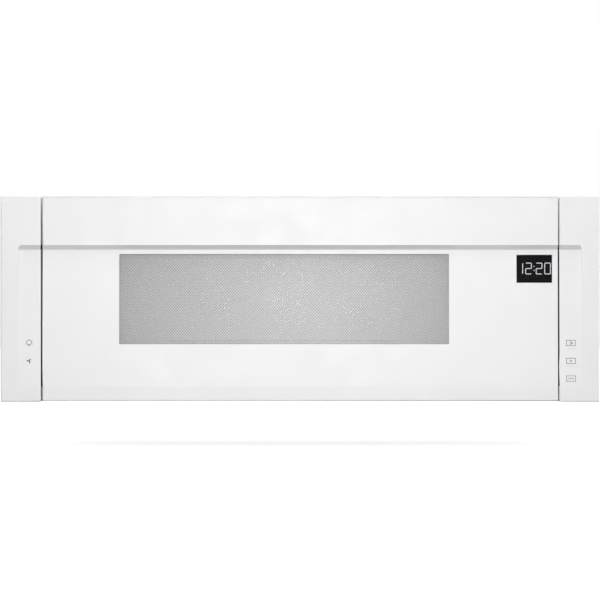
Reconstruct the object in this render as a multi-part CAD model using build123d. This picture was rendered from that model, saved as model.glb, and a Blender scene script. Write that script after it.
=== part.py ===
from build123d import *
import os
from math import asin, degrees, radians, sin

# Low-profile over the range microwave. Millimetres. X runs to the right along the front, the front
# faces -Y, and Z is up. The origin is the centre of the underside.

# ---- overall ----
width = 759.0
height = 260.35
depth = 464.0
front_depth = 42.0          # door and end panels, in front of the oven's front plate
end_panel_width = 51.0
door_gap = 2.0              # slit between the door and each end panel
door_rear_gap = 2.0         # between the back of the door and the front plate
door_lift = 0.8             # the door hangs this far above the underside

# ---- walls and gaps ----
sheet = 1.0                 # folded steel
front_sheet = 1.2           # front plate, base plate and rear plate
bracket_sheet = 2.0
moulding_wall = 2.5         # door's outer panel
end_wall = 2.0              # end panels
board = 1.6                 # circuit boards
edge_radius = 2.0
running_gap = 0.08          # round a shaft or a pin
seat_gap = 0.15             # round a piece that seats in an opening
body_gap = 0.3              # between pieces that move past each other
over = 1.0                  # how far a cutting body runs past a face

# ---- flats of the round forms that nothing fits or turns on ----
few_flats = 12
small_flats = 16
drum_flats = 24
mouth_flats = 36

# ---- the front's sloping recess ----
recess_inset = 22.5         # from the outer sides to the recess
recess_foot = 20.0          # height where the slope starts
recess_drop = 67.05         # from the top down to the deepest line
ledge_drop = 61.35          # from the top down to where the ledge meets the flush brow
recess_depth = 9.0
recess_corner = 4.5
ledge_root_radius = 6.0

# ---- space round the oven cavity ----
left_bay = 88.5             # outer side to cavity wall
right_bay = 128.5
bottom_space = 50.0
top_space = 38.35
rear_space = 94.0
cavity_bend = 2.0

# ---- window and display, in the recess ----
window_side_margin = 60.75  # from the cavity's sides
window_head_margin = 5.6    # below the deepest line
window_base = 73.3
window_corner = 1.5
screen_margin = 8.0         # screen beyond the window
pane_thickness = 3.2
pane_lap = 6.0              # the glass laps this far behind the opening
lens_thickness = 1.2
lens_lap = 3.0
display_width = 45.2
display_height = 35.6
display_side_margin = 6.5   # to the door's right edge
display_head_margin = 6.6
clock_width = 40.0          # display block behind the lens
clock_height = 26.0
clock_thickness = 5.0
clock_board_margin = 2.0
connector_width = 16.0
connector_height = 4.0

# ---- door inside ----
hinge_inset = 14.0          # axis from the door's left edge
hinge_setback = 11.0        # axis behind the front
hinge_pin_radius = 3.0
hinge_pin_length = 9.0
hinge_arm_reach = 10.0      # bracket arm to the right of the axis
hinge_eye = 4.5             # bracket and plate beyond the axis
hinge_plate_sheet = 3.0
hinge_plate_gap = 2.5       # between an arm and its hinge plate
hinge_plate_depth = 20.0
hinge_foot_height = 18.0
hinge_skirt_depth = 24.0    # shallow left skirt, so that it swings clear
bracket_inset = 13.0        # brackets from the top and the underside
choke_side_gap = 12.5       # hinge axis to the choke frame
choke_depth = 20.0
choke_margin = 14.0         # above and below
choke_web = 16.0            # width of the choke's trough
latch_strip = 54.0          # door's right strip, which holds the pawl

# ---- door latch ----
hook_inset = 20.5           # from the door's right edge
hook_thickness = 5.0
hook_reach = 30.0           # behind the pawl's bar
hook_arm = 8.0              # height of a hook's arm
hook_nose = 8.0             # length of its nose
hook_drop = 4.0             # depth of its nose
hook_end_margin = 48.0      # from the top and the underside to each hook
hook_play = 3.0             # sideways, for the arc that the hooks swing through
pawl_width = 10.0
pawl_thickness = 4.0
pawl_setback = 2.5          # in front of the choke cover
pawl_tail = 10.0            # bar beyond the lower hook
pawl_head = 18.0            # bar beyond the upper hook
latch_travel = 4.0
latch_clearance = 0.5
spring_rise = 110.0         # height of the spring's foot
spring_length = 22.0
spring_radius = 2.6
spring_wire = 0.9
spring_lug = 3.0            # thickness of the lug that the spring pushes

# ---- latch board and release mechanism ----
ledge_thickness = 5.0
latch_board_left = 26.0     # board's edge from the hooks' centre
latch_board_right = 14.0
latch_board_wall = 4.0
latch_board_depth = 40.0
latch_pad = 6.0
lever_arm = 24.0            # hook to pivot
lever_lift = 4.15           # how far the lever's tip rises
lever_thickness = 3.0
lever_boss_radius = 5.0
lever_post_radius = 2.5
plunger_arm = 20.0
plunger_width = 9.0
plunger_length = 24.0
plunger_head = 8.0
plunger_play = 1.2          # slot in the head, above and below the lever
coil_width = 26.0
coil_height = 34.0
switch_length = 20.0
switch_height = 12.0
switch_thickness = 10.0

# ---- end panels ----
end_wall_setback = 4.5      # inner wall, behind the lip that the door's edge swings past
clip_width = 12.0
clip_thickness = 2.0
clip_barb = 2.0
clip_inset = 12.0           # from the top and the underside
clip_outset = 14.0          # from the outer side
touch_board_width = 18.0
touch_board_margin = 2.0    # inside the recess's edge
touch_board_base = 18.0
touch_board_top = 92.0

# ---- cabinet ----
front_plate_margin = 3.0
wrap_bend = 3.0
wrap_flange = 12.0
vent_count = 9
vent_length = 40.0
vent_width = 6.0
vent_pitch = 56.0
vent_setback = 22.0         # from the front plate
cord_hole_side = 20.0
cord_hole_inset = 60.0      # from the right side
cord_radius = 5.0
bush_flange = 3.0
cabinet_bolt_radius = 3.175
cabinet_bolt_spacing = 600.0
cabinet_bolt_setback = 60.0
cabinet_nut_length = 10.0
cabinet_nut_size = 9.0
hook_spacing = 560.0        # hooks on the wall plate
hook_width = 28.0
hook_slot_height = 12.0
hook_slot_base = 30.0
wall_plate_sheet = 2.0
wall_plate_side = 24.0
wall_plate_base = 6.0
wall_plate_top = 172.0
wall_screw_spacing = 406.4  # 16 in studs
wall_screw_rise = 76.2
wall_screw_base = 84.0
wall_screw_radius = 3.5
wall_slot_count = 4
wall_slot_length = 34.0
wall_slot_width = 7.0

# ---- oven cavity ----
feed_length = 90.0          # waveguide's opening in the right wall
feed_height = 44.0
feed_setback = 36.0         # opening's middle, behind the cavity's middle
feed_drop = 22.0            # below the ceiling
air_slot_count = 5
air_slot_width = 4.0
air_slot_height = 16.0
air_slot_pitch = 8.0
air_slot_setback = 40.0     # from the front plate
mica_sheet = 0.6
mica_lap = 6.0
floor_well_radius = 34.0
floor_hole_radius = 6.5
lamp_holder = 28.0
lamp_holder_depth = 12.0
lamp_gap = 22.0             # holder from the cavity wall
bulb_radius = 5.0
bulb_length = 16.0

# ---- turntable ----
plate_margin = 11.5         # to the cavity's front and rear
plate_thickness = 5.5
plate_rim_height = 11.0
plate_rim_width = 3.0
plate_flats = 48
ring_inset = 52.0           # from the plate's edge to the rollers
ring_band = 8.0
ring_height = 6.0
roller_count = 3
roller_radius = 7.5
roller_width = 6.0
axle_radius = 2.0
coupler_arms = 3
coupler_radius = 20.0
coupler_arm_width = 8.0
coupler_arm_height = 6.0
plate_foot_radius = 3.0
shaft_radius = 3.5
motor_radius = 25.0
motor_height = 17.0
motor_ear_reach = 34.0
motor_ear_width = 14.0
motor_gap = 0.4

# ---- microwave source ----
guide_depth = 40.0
guide_base_margin = 20.0    # guide below the feed
guide_top_margin = 10.0
guide_side_margin = 4.0
antenna_radius = 8.0
antenna_gap = 2.0
antenna_reach = 26.0        # into the guide
magnetron_length = 70.0
magnetron_width = 88.0
magnetron_height = 76.0
yoke_sheet = 2.0
anode_width = 38.0
fin_count = 6
fin_sheet = 1.0
filter_box_width = 48.0
filter_box_height = 52.0
filter_box_depth = 16.0
core_width = 92.0           # transformer core
core_depth = 66.0
core_height = 72.0
core_lift = 5.0
core_setback = 30.0         # behind the cavity's middle
core_foot = 6.0
coil_chamfer = 8.0
coil_gap = 0.4
coil_end_gap = 1.0
capacitor_length = 52.0
capacitor_width = 32.0
capacitor_height = 86.0
capacitor_setback = 24.0
terminal_width = 6.3
terminal_height = 8.0
board_stand_off = 5.0       # power board from the outer side
board_front_margin = 36.0
board_rear_margin = 20.0
board_base = 40.0
board_top_margin = 50.0
relay_count = 3
relay_length = 18.0
relay_pitch = 26.0
relay_height = 22.0
relay_depth = 15.0
small_core_length = 36.0    # the board's own transformer
small_core_height = 33.0
small_core_depth = 30.0
small_core_inset = 18.0
smoother_radius = 6.0       # smoothing capacitors
smoother_length = 16.0
smoother_pitch = 18.0
smoother_inset = 27.0

# ---- cooling fan ----
fan_radius = 50.0
fan_tip_gap = 2.0
fan_frame_margin = 5.0
fan_frame_depth = 24.0
fan_blades = 5
fan_hub_radius = 13.0
fan_hub_length = 17.0
fan_blade_pitch = 32.0      # degrees
fan_blade_thickness = 1.4
fan_blade_root = 14.0
fan_blade_tip = 26.0
fan_setback = 44.0          # behind the waveguide
fan_shaft_radius = 2.0
fan_shaft_length = 18.0
fan_motor_size = 48.0
fan_motor_depth = 26.0
spoke_width = 5.0
spoke_depth = 2.0

# ---- hood ----
duct_length = 254.0         # standard 3 1/4 x 10 in duct
duct_width = 82.6
duct_collar = 22.0
duct_setback = 5.2          # from the rear
flap_rise = 6.0             # flap above the collar's foot
flap_sheet = 0.8
flap_gap = 1.5
flap_barrel_radius = 3.0
flap_saddle = 5.0
flap_stops = 3
flap_stop_pitch = 90.0
flap_stop_width = 10.0
flap_stop_reach = 7.0
blower_drop = 14.0          # wheels below the collar
wheel_clearance = 5.3       # wheels to the housing's front and rear
blower_wheel_length = 86.0
blower_blades = 12
blade_ring = 7.0            # width of the ring that holds the blades
blade_chord = 6.3
blade_lean = 24.0           # degrees, towards the way it turns
blade_sheet = 0.8
wheel_disc = 1.5
wheel_ring = 3.0
blower_gap = 4.0            # wheel to motor
blower_motor_length = 64.0
blower_motor_size = 50.0
blower_motor_chamfer = 10.0
motor_foot_width = 24.0
inlet_lap = 4.0             # inlet smaller than the wheel
scroll_end_gap = 1.0
scroll_corner_gap = 1.0
filter_overhang = 5.0       # filters run this far past the cavity's sides
filter_gap = 30.0           # between the two filters
filter_width = 130.0
filter_thickness = 8.0
filter_frame = 8.0
filter_clearance = 1.0
filter_setback = 28.0       # behind the cavity's middle
filter_lift = 0.6
filter_ribs = 6
filter_rib = 2.0
filter_pad = 1.5
filter_tab_width = 18.0
filter_tab_length = 12.0
lamp_spacing = 360.0
lamp_setback = 70.0         # from the front plate
lamp_length = 58.0
lamp_width = 38.0
lamp_height = 26.0
lens_flange = 4.0
lens_flange_thickness = 2.0
lens_lift = 0.2
cooktop_bulb_radius = 7.0
rib_count = 4
rib_pitch = 50.0
rib_width = 8.0
rib_height = 2.0
source_vent_count = 5
source_vent_length = 55.0
source_vent_width = 5.0
source_vent_pitch = 15.0
charcoal_length = 300.0
charcoal_width = 86.0
charcoal_thickness = 16.0
charcoal_frame = 8.0
charcoal_cells = 8

# ---- worked out ----
x_side = width / 2
y_front = -depth / 2
y_rear = depth / 2
y_plate = y_front + front_depth
y_behind_plate = y_plate + front_sheet
y_shell_rear = y_rear - wall_plate_sheet
y_rear_plate = y_shell_rear - front_sheet
x_end = x_side - end_panel_width
x_door = x_end - door_gap
y_door_rear = y_plate - door_rear_gap
z_recess = height - recess_drop
z_ledge = height - ledge_drop
x_recess = x_side - recess_inset
slope = recess_depth / (z_recess - recess_foot)

x_cavity_left = -x_side + left_bay + sheet
x_cavity_right = x_side - right_bay - sheet
z_cavity = bottom_space
z_ceiling = height - top_space
y_cavity_rear = y_rear - rear_space
x_oven = (x_cavity_left + x_cavity_right) / 2
y_oven = (y_plate + y_cavity_rear) / 2

z_window_top = z_recess - window_head_margin
x_window_left = x_cavity_left + window_side_margin
x_window_right = x_cavity_right - window_side_margin
screen_x = (x_window_left - screen_margin, x_window_right + screen_margin)
screen_z = (window_base - screen_margin, z_window_top + screen_margin)
x_display_right = x_door - display_side_margin
x_display_left = x_display_right - display_width
z_display_top = z_recess - display_head_margin
z_display_base = z_display_top - display_height

x_hinge = -x_door + hinge_inset
y_hinge = y_front + hinge_setback
z_lower_arm = bracket_inset + door_lift
z_upper_arm = height - bracket_inset
x_choke_left = x_hinge + choke_side_gap
x_choke_right = x_door - latch_strip
z_choke_base = door_lift + choke_margin
z_choke_top = height - choke_margin
y_cover = y_door_rear - sheet
y_choke = y_cover - choke_depth

x_hook = x_door - hook_inset
hook_heights = (hook_end_margin, height - hook_end_margin)
y_pawl = y_cover - pawl_setback
y_hook_end = y_pawl + hook_reach
y_spring = y_pawl - pawl_thickness - spring_radius - body_gap * 2
z_spring_top = spring_rise + spring_length
x_pivot = x_hook + lever_arm
y_lever_front = y_hook_end - hook_nose
y_lever_rear = y_hook_end - hook_nose / 4
y_lever_mid = (y_lever_front + y_lever_rear) / 2
z_nose_low = hook_heights[1] - hook_drop - latch_travel
z_pivot = z_nose_low - latch_clearance - lever_thickness / 2
lever_angle = degrees(asin(lever_lift / (lever_arm + hook_thickness / 2)))
plunger_travel = plunger_arm * sin(radians(lever_angle))
x_plunger = x_pivot + plunger_arm

clip_heights = (clip_inset, height - clip_inset)
x_clip = x_side - clip_outset
x_cord = x_side - cord_hole_inset

plate_radius = (y_cavity_rear - y_plate) / 2 - plate_margin
ring_radius = plate_radius - ring_inset
ring_outer = ring_radius - roller_width / 2 - body_gap * 3
z_roller = z_cavity + body_gap + roller_radius
z_plate = z_roller + roller_radius + body_gap
roller_angles = [90 + index * 360 / roller_count for index in range(roller_count)]
z_well = z_cavity - 3 * sheet

x_bay = x_cavity_right + sheet
x_bay_side = x_side - sheet
x_bay_mid = (x_bay + x_bay_side) / 2
y_feed_mid = y_oven + feed_setback
y_feed = (y_feed_mid - feed_length / 2, y_feed_mid + feed_length / 2)
z_feed = (z_ceiling - feed_drop - feed_height, z_ceiling - feed_drop)
y_guide = (y_feed[0] - guide_side_margin, y_feed[1] + guide_side_margin)
z_guide = (z_feed[0] - guide_base_margin, z_feed[1] + guide_top_margin)
y_antenna = sum(y_guide) / 2
z_antenna = sum(z_guide) / 2
y_core = y_oven + core_setback
z_core = front_sheet + core_lift
y_fan = y_guide[1] + fan_setback
y_fan_rear = y_fan + fan_frame_depth / 2

y_duct_rear = y_rear_plate - duct_setback + sheet
y_duct_front = y_duct_rear - duct_width
y_duct = (y_duct_front + y_duct_rear) / 2
y_cord = y_duct_front + cord_hole_side
z_collar = height - duct_collar
z_flap = z_collar + flap_rise
z_flap_axis = z_flap + flap_barrel_radius - flap_sheet
y_flap_axis = y_duct_rear - sheet - flap_barrel_radius - flap_gap
blower_wheel_radius = duct_width / 2 - wheel_clearance
y_blower = y_duct
z_blower = z_collar - blower_wheel_radius - blower_drop
x_wheel = blower_motor_length / 2 + blower_gap
y_filter = (y_oven + filter_setback, y_oven + filter_setback + filter_width)
y_lamp = y_plate + lamp_setback


# ---- small helpers ----
def block(x0, x1, y0, y1, z0, z1):
    """A box between two corners."""
    centre = Pos((x0 + x1) / 2, (y0 + y1) / 2, (z0 + z1) / 2)
    return centre * Box(x1 - x0, y1 - y0, z1 - z0)


def around(x, y, dx, dy, z0, z1):
    """A box centred on a point of the plan."""
    return block(x - dx / 2, x + dx / 2, y - dy / 2, y + dy / 2, z0, z1)


def rod(x, y, z, radius, length, direction="Z"):
    """A round bar that starts at a point and runs along +X, +Y or +Z."""
    turn = {"X": Rot(0, 90, 0), "Y": Rot(-90, 0, 0), "Z": Rot(0, 0, 0)}[direction]
    bar = Cylinder(radius, length, align=(Align.CENTER, Align.CENTER, Align.MIN))
    return Pos(x, y, z) * turn * bar


def drum(x, y, z, radius, length, direction="Z", flats=drum_flats):
    """A round form that nothing fits closely or turns on, drawn with flats to keep it light."""
    turn = {"X": Rot(0, 90, 0), "Y": Rot(-90, 0, 0), "Z": Rot(0, 0, 0)}[direction]
    return Pos(x, y, z) * turn * extrude(RegularPolygon(radius, flats), amount=length)


def along_x(outline, x0, x1):
    """A side view (Y, Z) drawn out from x0 to x1."""
    return extrude(Plane.YZ.offset(x0) * make_face(outline), amount=x1 - x0)


def along_y(sketch, y0, y1):
    """A front view (X, Z) drawn out from y1 forward to y0."""
    view = Plane(origin=(0, y1, 0), x_dir=(1, 0, 0), z_dir=(0, -1, 0))
    return extrude(view * sketch, amount=y1 - y0)


def along_z(outline, z0, z1):
    """A plan (X, Y) drawn out from z0 to z1."""
    return extrude(Plane.XY.offset(z0) * make_face(outline), amount=z1 - z0)


def rectangle(x0, x1, z0, z1, radius=0.0):
    """A rectangle between two corners of a view, with rounded corners where a radius is given."""
    shape = RectangleRounded(x1 - x0, z1 - z0, radius) if radius else Rectangle(x1 - x0, z1 - z0)
    return Pos((x0 + x1) / 2, (z0 + z1) / 2) * shape


def side_span(side, near, far):
    """Two distances from the middle, as X from low to high on one side of the object."""
    return sorted((side * near, side * far))


def turned(shape, angle):
    """A shape drawn about the origin, turned and set on the turntable's axis."""
    return Pos(x_oven, y_oven, 0) * Rot(0, 0, angle) * shape


def together(pieces):
    """Separate solids that share one node."""
    return Compound(children=list(pieces))


def save(**nodes):
    """Writes each named sub-part to its own file."""
    for name, shape in nodes.items():
        export_step(Compound(children=list(shape.solids())), f"parts/{name}.step")


os.makedirs("parts", exist_ok=True)


# ---- moulded front: one form, cut into a door and two end panels ----
def slope_y(z):
    """Y of the recessed face at a height."""
    return y_front + (z - recess_foot) * slope


def recess(wall=0.0):
    """The space that the recess takes out of the front, set back and widened by a wall."""
    y = y_front + wall
    outline = FilletPolyline(
        (y_front - over, recess_foot), (y, recess_foot), (y + recess_depth, z_recess),
        (y, z_ledge), (y_front - over, z_ledge), radius=[0, 0, ledge_root_radius, 0, 0], close=True)
    half = x_recess + wall
    mask = rectangle(-half, half, -z_ledge, z_ledge, recess_corner + wall)
    return along_x(outline, -half, half) & along_y(mask, y_front - 2 * over, y_plate)


def rounded_front(x0, x1, z0, y_back):
    """A block up to the top of the object, with rounded edges round its front face."""
    r = edge_radius
    side = FilletPolyline((y_front, z0), (y_front, height), (y_back, height), (y_back, z0),
                          radius=[r, r, 0, 0], close=True)
    plan = FilletPolyline((x0, y_front), (x1, y_front), (x1, y_back), (x0, y_back),
                          radius=[r, r, 0, 0], close=True)
    return along_x(side, x0, x1) & along_z(plan, z0, height)


def pane_seat(x0, x1, z0, z1, front, depth, corner=0.0):
    """A prism that follows the recess's slope, between two distances behind its face."""
    side = Polyline(
        (slope_y(z0) + front, z0), (slope_y(z1) + front, z1),
        (slope_y(z1) + depth, z1), (slope_y(z0) + depth, z0), close=True)
    prism = along_x(side, x0, x1)
    if corner:
        prism &= along_y(rectangle(x0, x1, z0, z1, corner), y_front - over, y_plate)
    return prism


def pane(x0, x1, z0, z1, thickness, lap, corner=0.0):
    """A pane whose face is flush in its opening, with a lap behind the moulding."""
    back = moulding_wall + thickness
    face = pane_seat(x0 + seat_gap, x1 - seat_gap, z0 + seat_gap, z1 - seat_gap,
                     0.0, back, corner)
    return face + pane_seat(x0 - lap, x1 + lap, z0 - lap, z1 + lap, moulding_wall, back)


# ---- door ----
def door_outer_panel():
    """Moulded skin with the ledge, the window and display openings, and notches for the hinges."""
    wall = moulding_wall
    hollow = block(-x_door + wall, x_door - wall, y_front + wall, y_door_rear + over,
                   door_lift + wall, height - wall)
    skin = rounded_front(-x_door, x_door, door_lift, y_door_rear) - recess()
    skin -= hollow - recess(wall)
    skin -= pane_seat(x_window_left, x_window_right, window_base, z_window_top,
                      -over, wall + over, window_corner)
    skin -= pane_seat(x_display_left, x_display_right, z_display_base, z_display_top,
                      -over, wall + over)
    skin -= block(-x_door - over, x_hinge, y_front + hinge_skirt_depth, y_plate,
                  -over, height + over)
    for z in (z_lower_arm, z_upper_arm):
        skin -= block(-x_door - over, -x_door + wall + over / 10, y_front + wall, y_plate,
                      z - 2 * bracket_sheet, z + 2 * bracket_sheet)
    return skin


def window_glass():
    return pane(x_window_left, x_window_right, window_base, z_window_top,
                pane_thickness, pane_lap, window_corner)


def display_lens():
    return pane(x_display_left, x_display_right, z_display_base, z_display_top,
                lens_thickness, lens_lap)


def display_module():
    """Clock display block on its small board, behind the lens."""
    x = (x_display_left + x_display_right) / 2
    z = (z_display_base + z_display_top) / 2
    y = slope_y(z_display_top + lens_lap) + moulding_wall + lens_thickness + body_gap
    dx, dz = clock_width / 2, clock_height / 2
    clock = block(x - dx, x + dx, y, y + clock_thickness, z - dz, z + dz)
    y += clock_thickness
    dx, dz = dx + clock_board_margin, dz + 2 * clock_board_margin
    circuit = block(x - dx, x + dx, y, y + board, z - dz, z + dz)
    dx, y = connector_width / 2, y + board
    plug = block(x - dx, x + dx, y, y + connector_height / 2, z - dz, z - dz + connector_height)
    return clock + circuit + plug


def choke_rectangle(inset):
    """The choke frame's outline in the front view, drawn in by an inset."""
    return rectangle(x_choke_left + inset, x_choke_right - inset,
                     z_choke_base + inset, z_choke_top - inset)


def choke_frame():
    """Folded steel frame: a trough round the oven's mouth, with its slot to the rear."""
    frame = along_y(choke_rectangle(0), y_choke, y_cover)
    frame -= along_y(choke_rectangle(sheet), y_choke + sheet, y_cover + over)
    web = along_y(choke_rectangle(choke_web), y_choke + sheet, y_cover)
    web -= along_y(choke_rectangle(choke_web + sheet), y_choke + sheet, y_cover + over)
    return frame + web - along_y(rectangle(*screen_x, *screen_z), y_choke - over, y_cover)


def door_screen():
    """Perforated sheet that fills the choke frame's opening; its holes are too fine to draw."""
    return along_y(rectangle(*screen_x, *screen_z), y_choke, y_choke + sheet)


def choke_cover():
    """Plastic ring that closes the choke's slot, with slots for the two latch hooks."""
    right = x_door - moulding_wall - over
    ring = rectangle(x_choke_left + sheet, right, z_choke_base, z_choke_top)
    cover = along_y(ring, y_cover, y_door_rear)
    cover -= along_y(rectangle(*screen_x, *screen_z), y_cover - over, y_door_rear + over)
    for z in hook_heights:
        cover -= hook_slot(z, y_cover - over, y_door_rear + over)
    return cover + spring_stop()


def inner_window():
    """Clear pane on the oven side of the screen, in the cover's opening."""
    x0, x1 = screen_x
    z0, z1 = screen_z
    face = rectangle(x0 + seat_gap, x1 - seat_gap, z0 + seat_gap, z1 - seat_gap)
    return along_y(face, y_cover, y_door_rear)


# ---- door latch ----
def hook_slot(z, y0, y1):
    """Slot that a hook passes through, with room to lift and to swing."""
    half = hook_thickness / 2 + hook_play
    low = z - hook_drop - latch_clearance - latch_travel
    return block(x_hook - half, x_hook + half, y0, y1, low, z + hook_arm + 3 * latch_clearance)


def hook(z):
    """One hook: its nose drops behind the ledge, and its front corner ramps over it."""
    end, nose = y_hook_end, hook_nose / 2
    side = Polyline(
        (y_pawl, z), (end - hook_nose, z), (end - hook_nose, z - hook_drop),
        (end - nose, z - hook_drop), (end, z), (end, z + nose), (end - nose, z + hook_arm),
        (y_pawl, z + hook_arm), close=True)
    return along_x(side, x_hook - hook_thickness / 2, x_hook + hook_thickness / 2)


def latch_pawl():
    """Sliding bar with two hooks. It is drawn lifted, with the hooks clear of their ledges."""
    x0, x1 = x_hook - pawl_width / 2, x_hook + pawl_width / 2
    y0 = y_pawl - pawl_thickness
    bar = block(x0, x1, y0, y_pawl, hook_heights[0] - pawl_tail, hook_heights[1] + pawl_head)
    lug = block(x0, x1, y_spring - spring_radius, y0, spring_rise - spring_lug, spring_rise)
    return bar + hook(hook_heights[0]) + hook(hook_heights[1]) + lug


def latch_spring():
    """Return spring that pushes the pawl down, between its lug and the door's stop."""
    coil = drum(x_hook, y_spring, spring_rise, spring_radius, spring_length, flats=small_flats)
    return coil - drum(x_hook, y_spring, spring_rise, spring_radius - spring_wire, spring_length,
                       flats=small_flats)


def spring_stop():
    """Lug behind the choke cover that the spring works against, with a cheek on each side
    of the pawl to guide it."""
    half = pawl_width / 2 + body_gap
    y0 = y_spring - spring_radius
    top = z_spring_top + latch_board_wall
    stop = block(x_hook - half, x_hook + half, y0, y_pawl - pawl_thickness - body_gap,
                 z_spring_top, top)
    for side in (-1, 1):
        x0, x1 = sorted((x_hook + side * half, x_hook + side * (half + moulding_wall)))
        stop += block(x0, x1, y0, y_cover, z_spring_top, top)
    return stop


# ---- hinges ----
def hinge_arm(z, pin_z):
    """Bracket on the front plate, with an arm to the hinge axis and its pin."""
    x0, x1 = x_hinge - hinge_eye, x_hinge + hinge_arm_reach
    arm = block(x0, x1, y_hinge - hinge_eye, y_plate, z, z + bracket_sheet)
    half = hinge_foot_height / 2
    foot = block(x0, x1, y_plate - bracket_sheet, y_plate, z - half, z + half)
    return arm + foot + rod(x_hinge, y_hinge, pin_z, hinge_pin_radius, hinge_pin_length)


def hinge_brackets():
    """The lower bracket's pin stands up and the upper bracket's pin hangs down."""
    lower = hinge_arm(z_lower_arm, z_lower_arm + bracket_sheet)
    return together((lower, hinge_arm(z_upper_arm, z_upper_arm - hinge_pin_length)))


def hinge_plates():
    """Two plates in the door, riveted to the choke frame, that turn on the bracket pins."""
    plates = []
    for z in (z_lower_arm + bracket_sheet + hinge_plate_gap,
              z_upper_arm - hinge_plate_gap - hinge_plate_sheet):
        plate = block(x_hinge - hinge_eye, x_choke_left, y_hinge - hinge_eye,
                      y_hinge + hinge_plate_depth, z, z + hinge_plate_sheet)
        bore = rod(x_hinge, y_hinge, z - over, hinge_pin_radius + running_gap,
                   hinge_plate_sheet + 2 * over)
        plates.append(plate - bore)
    return together(plates)


# ---- end panels ----
def end_panel(side):
    """Hollow moulded panel beside the door. Its inner wall stands back behind a thin lip, and
    two barbed clips hold it in the front plate."""
    face = rounded_front(*side_span(side, x_end, x_side), 0, y_plate) - recess()
    y0 = y_front + end_wall
    hollow = block(*side_span(side, x_end + end_wall_setback + end_wall, x_side - end_wall),
                   y0, y_plate + over, end_wall, height - end_wall)
    strip = block(*side_span(side, x_end - over, x_end + end_wall_setback),
                  y0, y_plate + over, -over, height + over)
    shell = face - (hollow - recess(end_wall)) - (strip - recess(end_wall))
    x0, x1 = side_span(side, x_clip - clip_width / 2, x_clip + clip_width / 2)
    for z in clip_heights:
        z0, z1 = z - clip_thickness / 2, z + clip_thickness / 2
        barb = Polyline((y_behind_plate + body_gap, z1), (y_behind_plate + body_gap, z1 + clip_barb),
                        (y_behind_plate + 3 * clip_barb, z1), close=True)
        shell += block(x0, x1, y0, y_behind_plate + 3 * clip_barb, z0, z1) + along_x(barb, x0, x1)
    return shell


def touch_boards():
    """Touch sensing board stuck close behind each end panel's keys."""
    y = slope_y(touch_board_top) + end_wall + body_gap
    outer = x_recess - touch_board_margin
    boards = []
    for side in (-1, 1):
        x0, x1 = side_span(side, outer - touch_board_width, outer)
        boards.append(block(x0, x1, y, y + board, touch_board_base, touch_board_top))
    return together(boards)


# ---- cabinet sheets ----
def front_plate():
    """Steel face that carries the oven's mouth, the hinges and the end panels."""
    margin = front_plate_margin
    plate = along_y(rectangle(-x_side + margin, x_side - margin, margin, height - margin),
                    y_plate, y_behind_plate)
    mouth = rectangle(x_cavity_left, x_cavity_right, z_cavity, z_ceiling, cavity_bend)
    plate -= along_y(mouth, y_plate - over, y_behind_plate + over)
    for z in hook_heights:
        plate -= hook_slot(z, y_plate - over, y_behind_plate + over)
    half = clip_width / 2 + body_gap
    for side in (-1, 1):
        x0, x1 = side_span(side, x_clip - half, x_clip + half)
        for z in clip_heights:
            z0 = z - clip_thickness / 2 - body_gap
            z1 = z + clip_thickness / 2 + clip_barb + body_gap
            plate -= block(x0, x1, y_plate - over, y_behind_plate + over, z0, z1)
    return plate


def outer_wrap():
    """Top and sides, folded from one sheet, with the top's air outlet, duct and bolt holes."""
    y0, y1 = y_behind_plate, y_rear_plate
    wrap = along_y(rectangle(-x_side, x_side, -height, height, wrap_bend), y0, y1)
    wrap -= along_y(rectangle(-x_side + sheet, x_side - sheet, -height, height - sheet,
                              wrap_bend - sheet), y0 - over, y1 + over)
    wrap -= block(-x_side - over, x_side + over, y_front, y_rear, -height - over, front_sheet)
    top = (height - sheet - over, height + over)
    for side in (-1, 1):
        wrap += block(*side_span(side, x_side - sheet, x_side - wrap_flange),
                      y0 + wrap_flange / 2, y1 - wrap_flange / 2, front_sheet, front_sheet + sheet)
        wrap -= drum(side * cabinet_bolt_spacing / 2, y_plate + cabinet_bolt_setback, top[0],
                     cabinet_bolt_radius + over, sheet + 2 * over, flats=small_flats)
    wrap -= block(-duct_length / 2, duct_length / 2, y_duct_front, y_duct_rear, *top)
    for index in range(vent_count):
        x = (index - (vent_count - 1) / 2) * vent_pitch
        wrap -= around(x, y_plate + vent_setback, vent_length, vent_width, *top)
    return wrap - around(x_cord, y_cord, cord_hole_side, cord_hole_side, *top)


def cord_bush():
    """Insulating bush in the square hole where the supply lead enters."""
    z = height - sheet
    neck = cord_hole_side - 2 * seat_gap
    flange = cord_hole_side + 2 * bush_flange
    bush = around(x_cord, y_cord, flange, flange, z - bush_flange, z)
    bush += around(x_cord, y_cord, neck, neck, z, height)
    return bush - drum(x_cord, y_cord, z - 2 * bush_flange, cord_radius, 4 * bush_flange,
                       flats=small_flats)


def cabinet_bolt_nuts():
    """Two weld nuts under the top for the bolts that come down through the cupboard."""
    y = y_plate + cabinet_bolt_setback
    z = height - sheet - cabinet_nut_length
    nuts = []
    for x in (-cabinet_bolt_spacing / 2, cabinet_bolt_spacing / 2):
        nut = Pos(x, y, z) * extrude(RegularPolygon(cabinet_nut_size, 6), amount=cabinet_nut_length)
        nuts.append(nut - rod(x, y, z, cabinet_bolt_radius, cabinet_nut_length))
    return together(nuts)


def filter_x(side):
    """Left and right edges of one filter."""
    far = (x_cavity_right - x_cavity_left) / 2 + filter_overhang
    x0, x1 = side_span(side, filter_gap / 2, far)
    return x_oven + x0, x_oven + x1


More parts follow.
